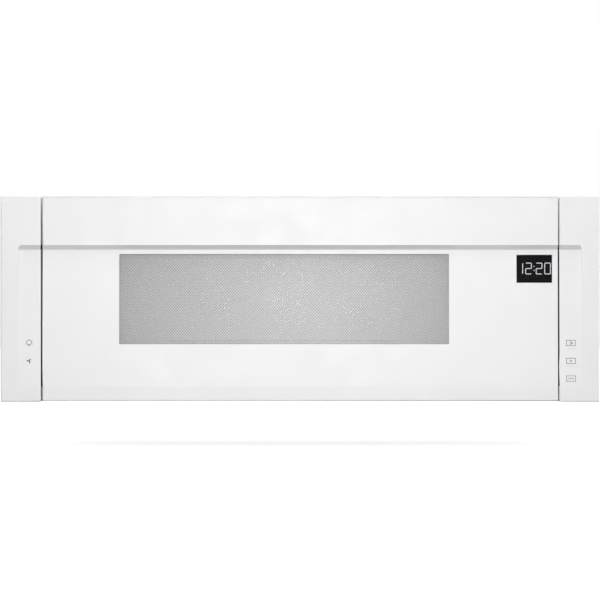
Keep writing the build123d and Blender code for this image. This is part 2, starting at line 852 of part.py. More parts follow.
def base_plate():
    """Underside pan: a lip round each filter's opening, lamp openings, air slots under the
    source bay and pressed stiffening ribs."""
    plate = block(-x_side, x_side, y_behind_plate, y_rear_plate, 0, front_sheet)
    lip_top = filter_thickness + filter_lift + filter_clearance
    for side in (-1, 1):
        x0, x1 = filter_x(side)
        y0, y1 = y_filter
        gap = filter_clearance
        rim = gap + sheet
        hole = block(x0 - gap, x1 + gap, y0 - gap, y1 + gap, -over, lip_top + over)
        plate += block(x0 - rim, x1 + rim, y0 - rim, y1 + rim, front_sheet, lip_top)
        plate -= hole
        plate -= around(x_oven + side * lamp_spacing / 2, y_lamp, lamp_length, lamp_width,
                        -over, front_sheet + over)
    for index in range(rib_count):
        x = x_oven + (index - (rib_count - 1) / 2) * rib_pitch
        plate += block(x - rib_width / 2, x + rib_width / 2, y_lamp, y_filter[0] - rib_pitch,
                       front_sheet, front_sheet + rib_height)
    for index in range(source_vent_count):
        x = x_bay_mid + (index - (source_vent_count - 1) / 2) * source_vent_pitch
        plate -= around(x, y_core - core_depth, source_vent_width, source_vent_length,
                        -over, front_sheet + over)
    return plate


def hook_pocket(side, gap):
    """Slot in the rear plate that takes one of the wall plate's hooks."""
    half = hook_width / 2 + gap
    x = side * hook_spacing / 2
    return block(x - half, x + half, y_rear_plate - over, y_shell_rear + over,
                 hook_slot_base, hook_slot_base + hook_slot_height)


def rear_plate():
    """Back of the cabinet, with two slots that hang on the wall plate's hooks."""
    plate = block(-x_side, x_side, y_rear_plate, y_shell_rear, 0, height)
    return plate - hook_pocket(-1, 2 * over) - hook_pocket(1, 2 * over)


def wall_plate():
    """Steel plate screwed to the wall, with two turned-up hooks that the oven hangs on."""
    y0 = y_shell_rear
    plate = block(-x_side + wall_plate_side, x_side - wall_plate_side, y0, y_rear,
                  wall_plate_base, wall_plate_top)
    y1 = y_rear_plate - 2 * wall_plate_sheet
    foot = hook_slot_base + wall_plate_sheet
    hook_side = Polyline(
        (y0, foot), (y0, foot + wall_plate_sheet), (y1 + wall_plate_sheet, foot + wall_plate_sheet),
        (y1 + wall_plate_sheet, hook_slot_base + hook_slot_height), (y1, hook_slot_base
         + hook_slot_height), (y1, foot), close=True)
    for side in (-1, 1):
        x = side * hook_spacing / 2
        plate += along_x(hook_side, x - hook_width / 2, x + hook_width / 2)
        for z in (wall_screw_base, wall_screw_base + wall_screw_rise):
            plate -= rod(side * wall_screw_spacing / 2, y0 - over, z, wall_screw_radius,
                         wall_plate_sheet + 2 * over, "Y")
    z = wall_screw_base + wall_screw_rise / 2
    for index in range(wall_slot_count):
        x = (index - (wall_slot_count - 1) / 2) * 2 * wall_slot_length
        plate -= block(x - wall_slot_length / 2, x + wall_slot_length / 2, y0 - over, y_rear + over,
                       z - wall_slot_width / 2, z + wall_slot_width / 2)
    return plate


# ---- oven cavity ----
def cavity_wrapper():
    """Left wall, ceiling and right wall, bent from one sheet, with the feed and air holes."""
    low = 2 * z_cavity - z_ceiling
    outer = rectangle(x_cavity_left - sheet, x_cavity_right + sheet, low - sheet,
                      z_ceiling + sheet, cavity_bend + sheet)
    inner = rectangle(x_cavity_left, x_cavity_right, low, z_ceiling, cavity_bend)
    wrapper = along_y(outer, y_behind_plate, y_cavity_rear)
    wrapper -= along_y(inner, y_plate, y_cavity_rear + over)
    wrapper -= block(-x_side, x_side, y_front, y_rear, -height, z_cavity)
    wrapper -= block(x_cavity_right - over, x_bay + over, *y_feed, *z_feed)
    for index in range(air_slot_count):
        y = y_plate + air_slot_setback + index * air_slot_pitch
        z = z_feed[1] - air_slot_height
        for x in (x_cavity_left - sheet / 2, x_cavity_right + sheet / 2):
            wrapper -= block(x - over, x + over, y, y + air_slot_width, z, z + air_slot_height)
    return wrapper


def cavity_floor():
    """Oven floor with a well round the motor's shaft."""
    floor = block(x_cavity_left - sheet, x_bay, y_behind_plate, y_cavity_rear,
                  z_cavity - sheet, z_cavity)
    well = drum(x_oven, y_oven, z_well, floor_well_radius, 2 * sheet)
    return floor + well - drum(x_oven, y_oven, z_well - over, floor_hole_radius,
                               3 * sheet + 2 * over, flats=few_flats)


def cavity_rear_wall():
    return block(x_cavity_left - sheet, x_bay, y_cavity_rear, y_cavity_rear + sheet,
                 z_cavity - sheet, z_ceiling + sheet)


def waveguide_cover():
    """Mica sheet over the feed, on the oven side."""
    lap = mica_lap
    return block(x_cavity_right - mica_sheet, x_cavity_right, y_feed[0] - lap, y_feed[1] + lap,
                 z_feed[0] - lap, z_feed[1] + lap)


def cavity_lamp():
    """Oven lamp in its holder, outside the left wall's air holes."""
    x = x_cavity_left - lamp_gap
    y = y_plate + air_slot_setback + air_slot_count * air_slot_pitch / 2
    z = z_feed[1] - air_slot_height / 2
    half = lamp_holder / 2
    holder = block(x - lamp_holder_depth, x, y - half, y + half, z - half, z + half)
    bulb = drum(x, y, z, bulb_radius, bulb_length, "X", flats=small_flats)
    return holder + chamfer(bulb.edges().group_by(Axis.X)[-1], bulb_radius / 2)


# ---- turntable ----
def turntable_motor():
    """Flat gear motor under the oven floor, with a mounting ear on each side."""
    top = z_well - motor_gap
    can = drum(x_oven, y_oven, top - motor_height, motor_radius, motor_height)
    ears = around(x_oven, y_oven, 2 * motor_ear_reach, motor_ear_width, top - sheet, top)
    plug = around(x_oven, y_oven + motor_radius, motor_ear_width, motor_ear_width,
                  top - motor_height, top - motor_height / 2)
    bore = rod(x_oven, y_oven, top - motor_height / 2, shaft_radius + running_gap, motor_height)
    return can + ears + plug - bore


def turntable_coupler():
    """Three-armed coupler on the motor's shaft; its arms turn the glass plate."""
    top = z_plate - body_gap
    low = z_well - motor_height / 2
    spider = rod(x_oven, y_oven, low, shaft_radius, top - low)
    for index in range(coupler_arms):
        half = coupler_arm_width / 2
        arm = Polyline((0, -half), (coupler_radius, -half / 2), (coupler_radius, half / 2),
                       (0, half), close=True)
        arm = along_z(arm, top - coupler_arm_height, top)
        spider += turned(arm, index * 360 / coupler_arms)
    return spider


def glass_turntable():
    """Glass plate with a raised rim, and three feet between the coupler's arms."""
    plate = drum(0, 0, 0, plate_radius, plate_rim_height, flats=plate_flats)
    plate = chamfer(plate.edges().group_by(Axis.Z)[0], plate_rim_height - plate_rim_width)
    plate -= drum(0, 0, plate_thickness, plate_radius - plate_rim_width, plate_rim_height,
                  flats=plate_flats)
    drop = coupler_arm_height * 3 / 4
    for index in range(coupler_arms):
        foot = drum(coupler_radius * 3 / 4, 0, -drop, plate_foot_radius, drop, flats=few_flats)
        plate += Rot(0, 0, (index + 0.5) * 360 / coupler_arms) * foot
    return Pos(x_oven, y_oven, z_plate) * plate


def roller_ring():
    """Plastic ring with an axle for each roller."""
    half = ring_height / 2
    band = drum(x_oven, y_oven, z_roller - half, ring_outer, ring_height)
    band -= drum(x_oven, y_oven, z_roller - half, ring_outer - ring_band, ring_height)
    for angle in roller_angles:
        start = ring_outer - ring_band / 2
        axle = rod(start, 0, z_roller, axle_radius, ring_radius + roller_width / 2 + over - start, "X")
        band += turned(axle, angle)
    return band


def roller(angle):
    """Roller that runs on the oven floor and carries the plate."""
    start = ring_radius - roller_width / 2
    wheel = drum(start, 0, z_roller, roller_radius, roller_width, "X")
    return turned(wheel - rod(start, 0, z_roller, axle_radius + running_gap, roller_width, "X"), angle)


# ---- microwave source, in the right-hand bay ----
def waveguide():
    """Sheet duct from the magnetron to the feed opening."""
    x0, x1 = x_bay, x_bay + guide_depth
    duct = block(x0, x1, *y_guide, *z_guide)
    duct -= block(x0 - over, x1 - sheet, y_guide[0] + sheet, y_guide[1] - sheet,
                  z_guide[0] + sheet, z_guide[1] - sheet)
    return duct - drum(x1 - 2 * sheet, y_antenna, z_antenna, antenna_radius + antenna_gap,
                       4 * sheet, "X", flats=small_flats)


def magnetron():
    """Anode in a steel yoke with cooling fins across it, a filter box behind, and the antenna
    dome that reaches into the guide."""
    x0 = x_bay + guide_depth
    x1 = x0 + magnetron_length - filter_box_depth
    y, z = y_antenna, z_antenna
    dy, dz = magnetron_width / 2, magnetron_height / 2
    tube_body = block(x0, x1, y - dy, y + dy, z - dz, z + dz)
    inside = block(x0 + yoke_sheet, x1 - yoke_sheet, y - dy - over, y + dy + over,
                   z - dz + yoke_sheet, z + dz - yoke_sheet)
    anode = anode_width / 2
    fins = block(x0 + yoke_sheet, x1 - yoke_sheet, y - anode, y + anode,
                 z - dz + yoke_sheet, z + dz - yoke_sheet)
    pitch = (x1 - x0 - 2 * yoke_sheet) / (fin_count + 1)
    for index in range(fin_count):
        x = x0 + yoke_sheet + (index + 1) * pitch
        fins += block(x - fin_sheet / 2, x + fin_sheet / 2, y - dy, y + dy,
                      z - dz + yoke_sheet, z + dz - yoke_sheet)
    box_y, box_z = filter_box_width / 2, filter_box_height / 2
    filter_box = block(x1, x1 + filter_box_depth, y - box_y, y + box_y, z - box_z, z + box_z)
    dome = drum(x0 - antenna_reach, y, z, antenna_radius, antenna_reach, "X", flats=small_flats)
    dome = chamfer(dome.edges().group_by(Axis.X)[0], antenna_radius / 2)
    return (tube_body - inside) + fins + filter_box + dome


def transformer_core():
    """Stack of laminations on a foot plate. Its middle limb is a third of the width, and each
    window beside it a sixth."""
    w, d, h = core_width, core_depth, core_height
    stack = around(x_bay_mid, y_core, w, d, z_core, z_core + h)
    for side in (-1, 1):
        x = x_bay_mid + side * w / 4
        stack -= around(x, y_core, w / 6, d + 2 * over, z_core + h / 6, z_core + h * 5 / 6)
    return stack + around(x_bay_mid, y_core, w + 2 * core_foot, d, z_core - bracket_sheet, z_core)


def transformer_windings():
    """Two coils on the middle limb, one above the other."""
    w, d, h = core_width, core_depth, core_height
    limb, outer = w / 3, 2 * w / 3 - 2 * coil_gap
    coils = []
    for z0, z1 in ((h / 6 + coil_end_gap, h / 2 - coil_end_gap),
                   (h / 2 + coil_end_gap, h * 5 / 6 - coil_end_gap)):
        coil = around(x_bay_mid, y_core, outer, d + w / 3, z_core + z0, z_core + z1)
        coil = chamfer(coil.edges().filter_by(Axis.Z), coil_chamfer)
        coils.append(coil - around(x_bay_mid, y_core, limb, d, z_core, z_core + h))
    return together(coils)


def capacitor():
    """Oval can with two blade terminals, standing behind the transformer."""
    y = y_core + core_depth / 2 + core_width / 6 + capacitor_setback
    top = z_core + capacitor_height
    can = around(x_bay_mid, y, capacitor_length, capacitor_width, z_core, top)
    can = chamfer(can.edges().filter_by(Axis.Z), capacitor_width / 3)
    for side in (-1, 1):
        can += around(x_bay_mid + side * capacitor_length / 4, y, sheet, terminal_width,
                      top, top + terminal_height)
    return can


def power_board():
    """Circuit board on the outer side, with relays, smoothing capacitors and a transformer."""
    x1 = x_bay_side - board_stand_off
    x0 = x1 - board
    y0, y1 = y_behind_plate + board_front_margin, y_guide[0] - board_rear_margin
    z0, z1 = board_base, height - board_top_margin
    circuit = block(x0, x1, y0, y1, z0, z1)
    for index in range(relay_count):
        y = y0 + relay_length / 2 + index * relay_pitch
        circuit += block(x0 - relay_depth, x0, y, y + relay_length,
                         z1 - 2 * relay_height, z1 - relay_height)
    y, z = y0 + small_core_inset, z0 + small_core_inset
    circuit += block(x0 - small_core_depth, x0, y, y + small_core_length, z, z + small_core_height)
    for y in (y0 + smoother_inset, y0 + smoother_inset + smoother_pitch):
        circuit += drum(x0 - smoother_length, y, (z0 + z1) / 2, smoother_radius, smoother_length,
                        "X", flats=small_flats)
    return circuit


# ---- cooling fan ----
def fan_shroud():
    """Square frame with a round mouth, and a spoked seat for the motor on its rear side."""
    half = fan_radius + fan_frame_margin
    y0 = y_fan - fan_frame_depth / 2
    frame = block(x_bay_mid - half, x_bay_mid + half, y0, y_fan_rear,
                  z_antenna - half, z_antenna + half)
    frame -= drum(x_bay_mid, y0 - over, z_antenna, fan_radius + fan_tip_gap,
                  fan_frame_depth + 2 * over, "Y", flats=mouth_flats)
    seat = fan_motor_size / 2
    y1 = y_fan_rear - spoke_depth
    for dx, dz in ((half - over, spoke_width / 2), (spoke_width / 2, half - over), (seat, seat)):
        frame += block(x_bay_mid - dx, x_bay_mid + dx, y1, y_fan_rear, z_antenna - dz, z_antenna + dz)
    hole = fan_shaft_radius + 2 * body_gap
    return frame - drum(x_bay_mid, y1 - over, z_antenna, hole, spoke_depth + 2 * over, "Y",
                        flats=few_flats)


def fan_motor():
    """Shaded-pole motor on the shroud's seat: a lamination stack with its coil below."""
    half = fan_motor_size / 2
    y1 = y_fan_rear + fan_motor_depth
    stack = block(x_bay_mid - half, x_bay_mid + half, y_fan_rear, y1,
                  z_antenna - half, z_antenna + half)
    stack = chamfer(stack.edges().filter_by(Axis.Y), half / 4)
    coil = block(x_bay_mid - half / 2, x_bay_mid + half / 2, y_fan_rear + spoke_width,
                 y1 + spoke_width, z_antenna - half * 3 / 2, z_antenna - half)
    bore = rod(x_bay_mid, y_fan_rear - over, z_antenna, fan_shaft_radius + running_gap,
               fan_shaft_length, "Y")
    return stack + coil - bore


def cooling_fan():
    """Pitched blades on a hub, with the motor's shaft."""
    y0 = y_fan_rear - spoke_depth - over - fan_hub_length
    hub = drum(x_bay_mid, y0, z_antenna, fan_hub_radius, fan_hub_length, "Y",
               flats=4 * fan_blades)
    hub += rod(x_bay_mid, y0 + fan_hub_length, z_antenna, fan_shaft_radius, fan_shaft_length, "Y")
    root, tip = fan_blade_root / 2, fan_blade_tip / 2
    low, high = fan_hub_radius - 2 * over, fan_radius - over
    outline = Polyline((-root, low), (root, low), (tip, high - root), (root, high), (-tip, high),
                       close=True)
    blade = extrude(make_face(outline), amount=fan_blade_thickness / 2, both=True)
    blade = Rot(0, fan_blade_pitch, 0) * blade
    centre = Pos(x_bay_mid, y0 + fan_hub_length / 2, z_antenna) * Rot(90, 0, 0)
    for index in range(fan_blades):
        hub += centre * Rot(0, 0, index * 360 / fan_blades) * blade
    return hub


# ---- release mechanism, behind the front plate ----
def latch_board():
    """Plastic board with the ledges that the hooks drop behind, and the lever's pivot post."""
    x0, x1 = x_hook - latch_board_left, x_hook + latch_board_right
    y0 = y_behind_plate
    strip = block(x0, x0 + latch_board_wall, y0, y0 + latch_board_depth,
                  hook_heights[0] - 2 * pawl_tail, hook_heights[1] + 2 * pawl_tail)
    pad_end = x_hook - hook_thickness / 2 - hook_play - over
    for z in hook_heights:
        top = z - hook_drop - latch_clearance
        strip += block(x0, x1, y0, y_lever_front - latch_clearance, top - ledge_thickness, top)
        strip += block(x0, pad_end, y0, y0 + latch_pad, z - pawl_tail, z + pawl_tail)
    seat = lever_boss_radius
    strip += block(x1, x_pivot + seat, y0, y0 + latch_board_wall, z_pivot - seat, z_pivot + seat)
    return strip + rod(x_pivot, y0, z_pivot, lever_post_radius, y_lever_rear + over - y0, "Y")


def release_lever():
    """Lever that lifts the upper hook when the solenoid pulls its other end down."""
    y0, y1 = y_lever_front, y_lever_rear
    half = lever_thickness / 2
    lever = block(x_hook - hook_thickness / 2 - body_gap, x_plunger + half, y0, y1,
                  z_pivot - half, z_pivot + half)
    lever += drum(x_pivot, y0, z_pivot, lever_boss_radius, y1 - y0, "Y", flats=few_flats)
    return lever - rod(x_pivot, y0 - over, z_pivot, lever_post_radius + running_gap,
                       y1 - y0 + 2 * over, "Y")


def solenoid_plunger():
    """Square laminated plunger with a slotted head that holds the lever's tail."""
    x, half = x_plunger, plunger_head / 2
    z0 = z_pivot - plunger_head
    head = block(x - half, x + half, y_lever_mid - plunger_head, y_lever_mid + plunger_head,
                 z0, z_pivot + plunger_head)
    slot = lever_thickness / 2 + plunger_play
    head -= block(x - plunger_head, x + plunger_head, y_lever_front - latch_clearance,
                  y_lever_rear + latch_clearance, z_pivot - slot, z_pivot + slot)
    return head + around(x, y_lever_mid, plunger_width, plunger_width, z0 - plunger_length, z0)


def release_solenoid():
    """Coil in its steel yoke, below the lever."""
    top = z_pivot - plunger_head - plunger_travel - over
    coil = around(x_plunger, y_lever_mid, coil_width, coil_width, top - coil_height, top)
    coil = chamfer(coil.edges().filter_by(Axis.Z), coil_width / 8)
    bore = plunger_width + 2 * body_gap
    return coil - around(x_plunger, y_lever_mid, bore, bore, top - plunger_length - over, top + over)


def interlock_switches():
    """Three switches on the latch board that the hooks close."""
    x0 = x_hook - latch_board_left + latch_board_wall
    y0 = y_behind_plate + latch_board_depth - switch_length - 2 * pawl_thickness
    heights = (hook_heights[0] + pawl_head, height / 2, hook_heights[1] - 2 * switch_height)
    return together(block(x0, x0 + switch_thickness, y0, y0 + switch_length, z, z + switch_height)
                    for z in heights)


# ---- hood ----
def blower_wheel(side):
    """Squirrel-cage wheel: leaning blades between a disc and an end ring."""
    r, length = blower_wheel_radius, blower_wheel_length
    flats = 2 * blower_blades
    wheel = drum(0, 0, 0, r, wheel_disc, flats=flats)
    wheel += drum(0, 0, length - wheel_ring, r, wheel_ring, flats=flats)
    wheel -= drum(0, 0, length - wheel_ring, r - blade_ring, wheel_ring, flats=flats)
    blade = Pos(r - blade_ring / 2 - seat_gap, 0, wheel_disc) * Rot(0, 0, side * blade_lean)
    blade *= Box(blade_chord, blade_sheet, length - wheel_disc - wheel_ring,
                 align=(Align.CENTER, Align.CENTER, Align.MIN))
    for index in range(blower_blades):
        wheel += Rot(0, 0, index * 360 / blower_blades) * blade
    return Pos(side * x_wheel, y_blower, z_blower) * Rot(0, 90 * side, 0) * wheel


def blower_shaft():
    """One shaft through the motor that carries both wheels on its ends."""
    return rod(-x_wheel, y_blower, z_blower, shaft_radius, 2 * x_wheel, "X")


def scroll(inset):
    """Side view of the blower housing, drawn in by a wall: round below, open to the duct above."""
    reach = duct_width / 2 - inset
    low = z_blower - duct_width / 2 + inset
    top = z_collar - body_gap + inset
    corner = reach - scroll_corner_gap
    return FilletPolyline((y_duct - reach, low), (y_duct + reach, low), (y_duct + reach, top),
                          (y_duct - reach, top), radius=[corner, corner, 0, 0], close=True)


def blower_housing():
    """Scroll round both wheels and their motor, with an air inlet at each end."""
    half = duct_length / 2 - scroll_end_gap
    housing = along_x(scroll(0), -half, half) - along_x(scroll(sheet), -half + sheet, half - sheet)
    return housing - drum(-half - over, y_blower, z_blower, blower_wheel_radius - inlet_lap,
                          2 * half + 2 * over, "X", flats=mouth_flats)


def blower_motor():
    """Motor between the two wheels, on a foot that seats in the housing."""
    half, size = blower_motor_length / 2, blower_motor_size / 2
    stack = block(-half, half, y_blower - size, y_blower + size, z_blower - size, z_blower + size)
    stack = chamfer(stack.edges().filter_by(Axis.X), blower_motor_chamfer)
    foot = block(-half / 2, half / 2, y_blower - motor_foot_width / 2, y_blower + motor_foot_width / 2,
                 z_blower - duct_width, z_blower)
    stack += foot & along_x(scroll(sheet), -half, half)
    return stack - rod(-half - over, y_blower, z_blower, shaft_radius + running_gap,
                       2 * half + 2 * over, "X")


def exhaust_adapter():
    """Collar that the duct fits, with stops under the flap and an open saddle at each end for
    its barrel."""
    x, y0, y1 = duct_length / 2, y_duct_front, y_duct_rear
    collar = block(-x, x, y0, y1, z_collar, height)
    collar -= block(-x + sheet, x - sheet, y0 + sheet, y1 - sheet, z_collar - over, height + over)
    for index in range(flap_stops):
        x_stop = (index - (flap_stops - 1) / 2) * flap_stop_pitch
        collar += block(x_stop - flap_stop_width / 2, x_stop + flap_stop_width / 2,
                        y0 + sheet, y0 + sheet + flap_stop_reach,
                        z_flap - bracket_sheet - body_gap, z_flap - body_gap)
    slot = flap_barrel_radius + body_gap
    z0, z1 = z_flap_axis - slot - bracket_sheet, z_flap_axis + slot
    for start in (-x + sheet, x - sheet - flap_saddle):
        collar += block(start, start + flap_saddle, y_flap_axis - slot - sheet, y1 - sheet, z0, z1)
        collar -= block(start - body_gap / 2, start + flap_saddle + body_gap / 2,
                        y_flap_axis - slot, y_flap_axis + slot, z0 + bracket_sheet, z1 + over)
    return collar


def damper_flap():
    """Light flap that the air lifts, hinged along its rear edge."""
    x = duct_length / 2 - sheet - flap_gap
    inner = duct_length / 2 - sheet - flap_saddle - flap_gap
    flap = block(-inner, inner, y_duct_front + sheet + flap_gap, y_flap_axis,
                 z_flap, z_flap + flap_sheet)
    return flap + rod(-x, y_flap_axis, z_flap_axis, flap_barrel_radius, 2 * x, "X")


def grease_filter(side):
    """Aluminium frame round a ribbed mesh pad, with a pull tab."""
    x0, x1 = filter_x(side)
    y0, y1 = y_filter
    z0, z1 = filter_lift, filter_lift + filter_thickness
    edge = filter_frame
    frame = block(x0, x1, y0, y1, z0, z1)
    frame -= block(x0 + edge, x1 - edge, y0 + edge, y1 - edge, z0 - over, z1 + over)
    middle = (z0 + z1) / 2
    frame += block(x0 + edge, x1 - edge, y0 + edge, y1 - edge,
                   middle - filter_pad / 2, middle + filter_pad / 2)
    pitch = (x1 - x0 - 2 * edge) / filter_ribs
    for index in range(filter_ribs):
        x = x0 + edge + (index + 0.5) * pitch
        frame += block(x - filter_rib / 2, x + filter_rib / 2, y0 + edge, y1 - edge,
                       z0 + filter_pad, z1 - filter_pad)
    return frame + around((x0 + x1) / 2, y0 + edge + filter_tab_length / 2, filter_tab_width,
                          filter_tab_length, z0, middle)


def cooktop_lamps():
    """Two lamps that light the cooktop, each a bulb in an open-bottomed reflector box."""
    z0 = front_sheet + lens_flange_thickness
    z1 = z0 + lamp_height
    lamps = []
    for side in (-1, 1):
        x = x_oven + side * lamp_spacing / 2
        box = around(x, y_lamp, lamp_length, lamp_width, z0, z1)
        box -= around(x, y_lamp, lamp_length - 2 * sheet, lamp_width - 2 * sheet, z0 - over, z1 - sheet)
        bulb = drum(x - lamp_length / 2, y_lamp, (z0 + z1) / 2, cooktop_bulb_radius,
                    lamp_length * 3 / 4, "X", flats=few_flats)
        lamps.append(box + bulb)
    return together(lamps)


def lamp_lenses():
    """Glass lens under each lamp, seated in the base plate's opening on its flange."""
    lenses = []
    for side in (-1, 1):
        x = x_oven + side * lamp_spacing / 2
        lens = around(x, y_lamp, lamp_length - 2 * seat_gap, lamp_width - 2 * seat_gap,
                      lens_lift, front_sheet)
        lens += around(x, y_lamp, lamp_length + 2 * lens_flange, lamp_width + 2 * lens_flange,
                       front_sheet, front_sheet + lens_flange_thickness)
        lenses.append(lens)
    return together(lenses)


def charcoal_filter():
    """Filter pad in a gridded frame above the oven, under the top's air outlet."""
    z0 = z_ceiling + sheet + charcoal_frame
    z1 = z0 + charcoal_thickness
    y0 = y_behind_plate + bracket_sheet
    y1 = y0 + charcoal_width
    pad = block(x_oven - charcoal_length / 2, x_oven + charcoal_length / 2, y0, y1, z0, z1)
    pitch = (charcoal_length - charcoal_frame) / charcoal_cells
    for index in range(charcoal_cells):
        x = x_oven + (index - (charcoal_cells - 1) / 2) * pitch
        pad -= around(x, (y0 + y1) / 2, pitch - charcoal_frame, charcoal_width - 2 * charcoal_frame,
                      z1 - bracket_sheet, z1 + over)
    return pad


# ---- the whole appliance ----
save(
    door_outer_panel=door_outer_panel(), window_glass=window_glass(), display_lens=display_lens(),
    display_module=display_module(), choke_frame=choke_frame(), door_screen=door_screen(),
    choke_cover=choke_cover(), inner_window=inner_window(), hinge_plates=hinge_plates(),
    latch_pawl=latch_pawl(), latch_spring=latch_spring(),
)
save(
    left_end_panel=end_panel(-1), right_end_panel=end_panel(1), touch_boards=touch_boards(),
    hinge_brackets=hinge_brackets(), front_plate=front_plate(),
    outer_wrap=outer_wrap(), base_plate=base_plate(), rear_plate=rear_plate(),
    wall_plate=wall_plate(), cord_bush=cord_bush(), cabinet_bolt_nuts=cabinet_bolt_nuts(),
)
save(
    cavity_wrapper=cavity_wrapper(), cavity_floor=cavity_floor(),
    cavity_rear_wall=cavity_rear_wall(), waveguide_cover=waveguide_cover(),
    cavity_lamp=cavity_lamp(), turntable_motor=turntable_motor(),
    turntable_coupler=turntable_coupler(), glass_turntable=glass_turntable(),
    roller_ring=roller_ring(),
)
save(**{f"roller_{index + 1}": roller(angle) for index, angle in enumerate(roller_angles)})
save(
    waveguide=waveguide(), magnetron=magnetron(),
    transformer_core=transformer_core(), transformer_windings=transformer_windings(),
    capacitor=capacitor(), power_board=power_board(), fan_shroud=fan_shroud(),
    fan_motor=fan_motor(), cooling_fan=cooling_fan(), latch_board=latch_board(),
    release_lever=release_lever(), solenoid_plunger=solenoid_plunger(),
    release_solenoid=release_solenoid(), interlock_switches=interlock_switches(),
)
save(
    blower_wheels=together((blower_wheel(-1), blower_wheel(1))),
    blower_shaft=blower_shaft(), blower_motor=blower_motor(), blower_housing=blower_housing(),
    exhaust_adapter=exhaust_adapter(), damper_flap=damper_flap(),
    left_grease_filter=grease_filter(-1), right_grease_filter=grease_filter(1),
    cooktop_lamps=cooktop_lamps(), lamp_lenses=lamp_lenses(), charcoal_filter=charcoal_filter(),
)
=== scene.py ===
import math

import bmesh
import bpy
from mathutils import Matrix, Vector


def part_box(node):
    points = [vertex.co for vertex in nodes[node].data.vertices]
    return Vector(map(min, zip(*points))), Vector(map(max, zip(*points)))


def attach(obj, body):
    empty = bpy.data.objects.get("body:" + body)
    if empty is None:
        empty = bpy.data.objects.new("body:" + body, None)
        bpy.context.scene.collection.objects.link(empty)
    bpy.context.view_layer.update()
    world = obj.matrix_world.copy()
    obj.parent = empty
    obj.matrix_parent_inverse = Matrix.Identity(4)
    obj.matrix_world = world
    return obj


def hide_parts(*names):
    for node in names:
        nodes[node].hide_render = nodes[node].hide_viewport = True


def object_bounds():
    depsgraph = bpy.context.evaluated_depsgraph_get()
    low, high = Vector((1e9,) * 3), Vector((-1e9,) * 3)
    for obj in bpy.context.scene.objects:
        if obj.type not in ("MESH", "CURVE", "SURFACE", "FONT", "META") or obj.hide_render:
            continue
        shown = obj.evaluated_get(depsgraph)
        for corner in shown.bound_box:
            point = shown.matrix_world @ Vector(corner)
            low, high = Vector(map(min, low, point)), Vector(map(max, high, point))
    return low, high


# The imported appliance, in metres: X to the right along its front, the front towards -Y, Z up.
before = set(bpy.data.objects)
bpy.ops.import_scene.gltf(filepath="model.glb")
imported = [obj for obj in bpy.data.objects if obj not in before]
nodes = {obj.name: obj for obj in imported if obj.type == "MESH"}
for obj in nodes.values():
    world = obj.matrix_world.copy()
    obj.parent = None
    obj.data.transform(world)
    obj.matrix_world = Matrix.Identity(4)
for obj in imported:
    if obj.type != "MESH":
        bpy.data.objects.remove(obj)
cad_box = [list(corner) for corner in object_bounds()]


# ---- studio ----
# A pale floor under the appliance and an even white room. One wide softbox hangs overhead, one
# stands at each side, one lights the back, a key light is close in front, and a narrow one behind
# the camera shows in the glass.
def join_nodes(tree, *pairs):
    """Links a node's output to another's socket, pair by pair."""
    for output, socket in pairs:
        tree.links.new(output, socket)


room_light = 0.455          # strength of the room's white on the appliance
room_white = 1.0            # and as the camera sees it
scene = bpy.context.scene
scene.view_settings.view_transform = "Standard"
room = bpy.data.worlds.new("studio_room")
scene.world = room
room.use_nodes = True
room_tree = room.node_tree
room_air = room_tree.nodes["Background"]
backdrop = room_tree.nodes.new("ShaderNodeBackground")
for background, strength in ((room_air, room_light), (backdrop, room_white)):
    background.inputs["Color"].default_value = (1, 1, 1, 1)
    background.inputs["Strength"].default_value = strength
room_seen = room_tree.nodes.new("ShaderNodeLightPath")
room_mix = room_tree.nodes.new("ShaderNodeMixShader")
join_nodes(room_tree,
           (room_seen.outputs["Is Camera Ray"], room_mix.inputs["Fac"]),
           (room_air.outputs["Background"], room_mix.inputs[1]),
           (backdrop.outputs["Background"], room_mix.inputs[2]),
           (room_mix.outputs["Shader"], room_tree.nodes["World Output"].inputs["Surface"]))


def softbox(name, place, aim, size, power):
    """A rectangular light of two sides, turned to face a point."""
    light = bpy.data.lights.new(name, "AREA")
    light.shape = "RECTANGLE"
    light.size, light.size_y = size
    light.energy = power
    stand = bpy.data.objects.new(name, light)
    scene.collection.objects.link(stand)
    stand.location = place
    stand.visible_camera = False
    stand.rotation_euler = (Vector(aim) - Vector(place)).to_track_quat("-Z", "Y").to_euler()
    return stand


cabinet_middle = (0, 0, 0.1)
softbox("overhead_softbox", (0, -1.6, 2.6), cabinet_middle, (3.0, 2.0), 9)
softbox("left_softbox", (-3.0, -1.2, 1.2), cabinet_middle, (1.6, 2.0), 7)
softbox("right_softbox", (3.0, -1.2, 1.2), cabinet_middle, (1.6, 2.0), 7)
softbox("rear_softbox", (0, 3.2, 1.5), cabinet_middle, (2.4, 1.6), 18)
softbox("glass_softbox", (0, -6.4, 0.5), (0, 0, 0.2), (0.5, 1.3), 52)
key = softbox("key_softbox", (0, -1.35, 0.4), (0, -0.2, 0.15), (0.5, 0.3), 5)
key.visible_glossy = False

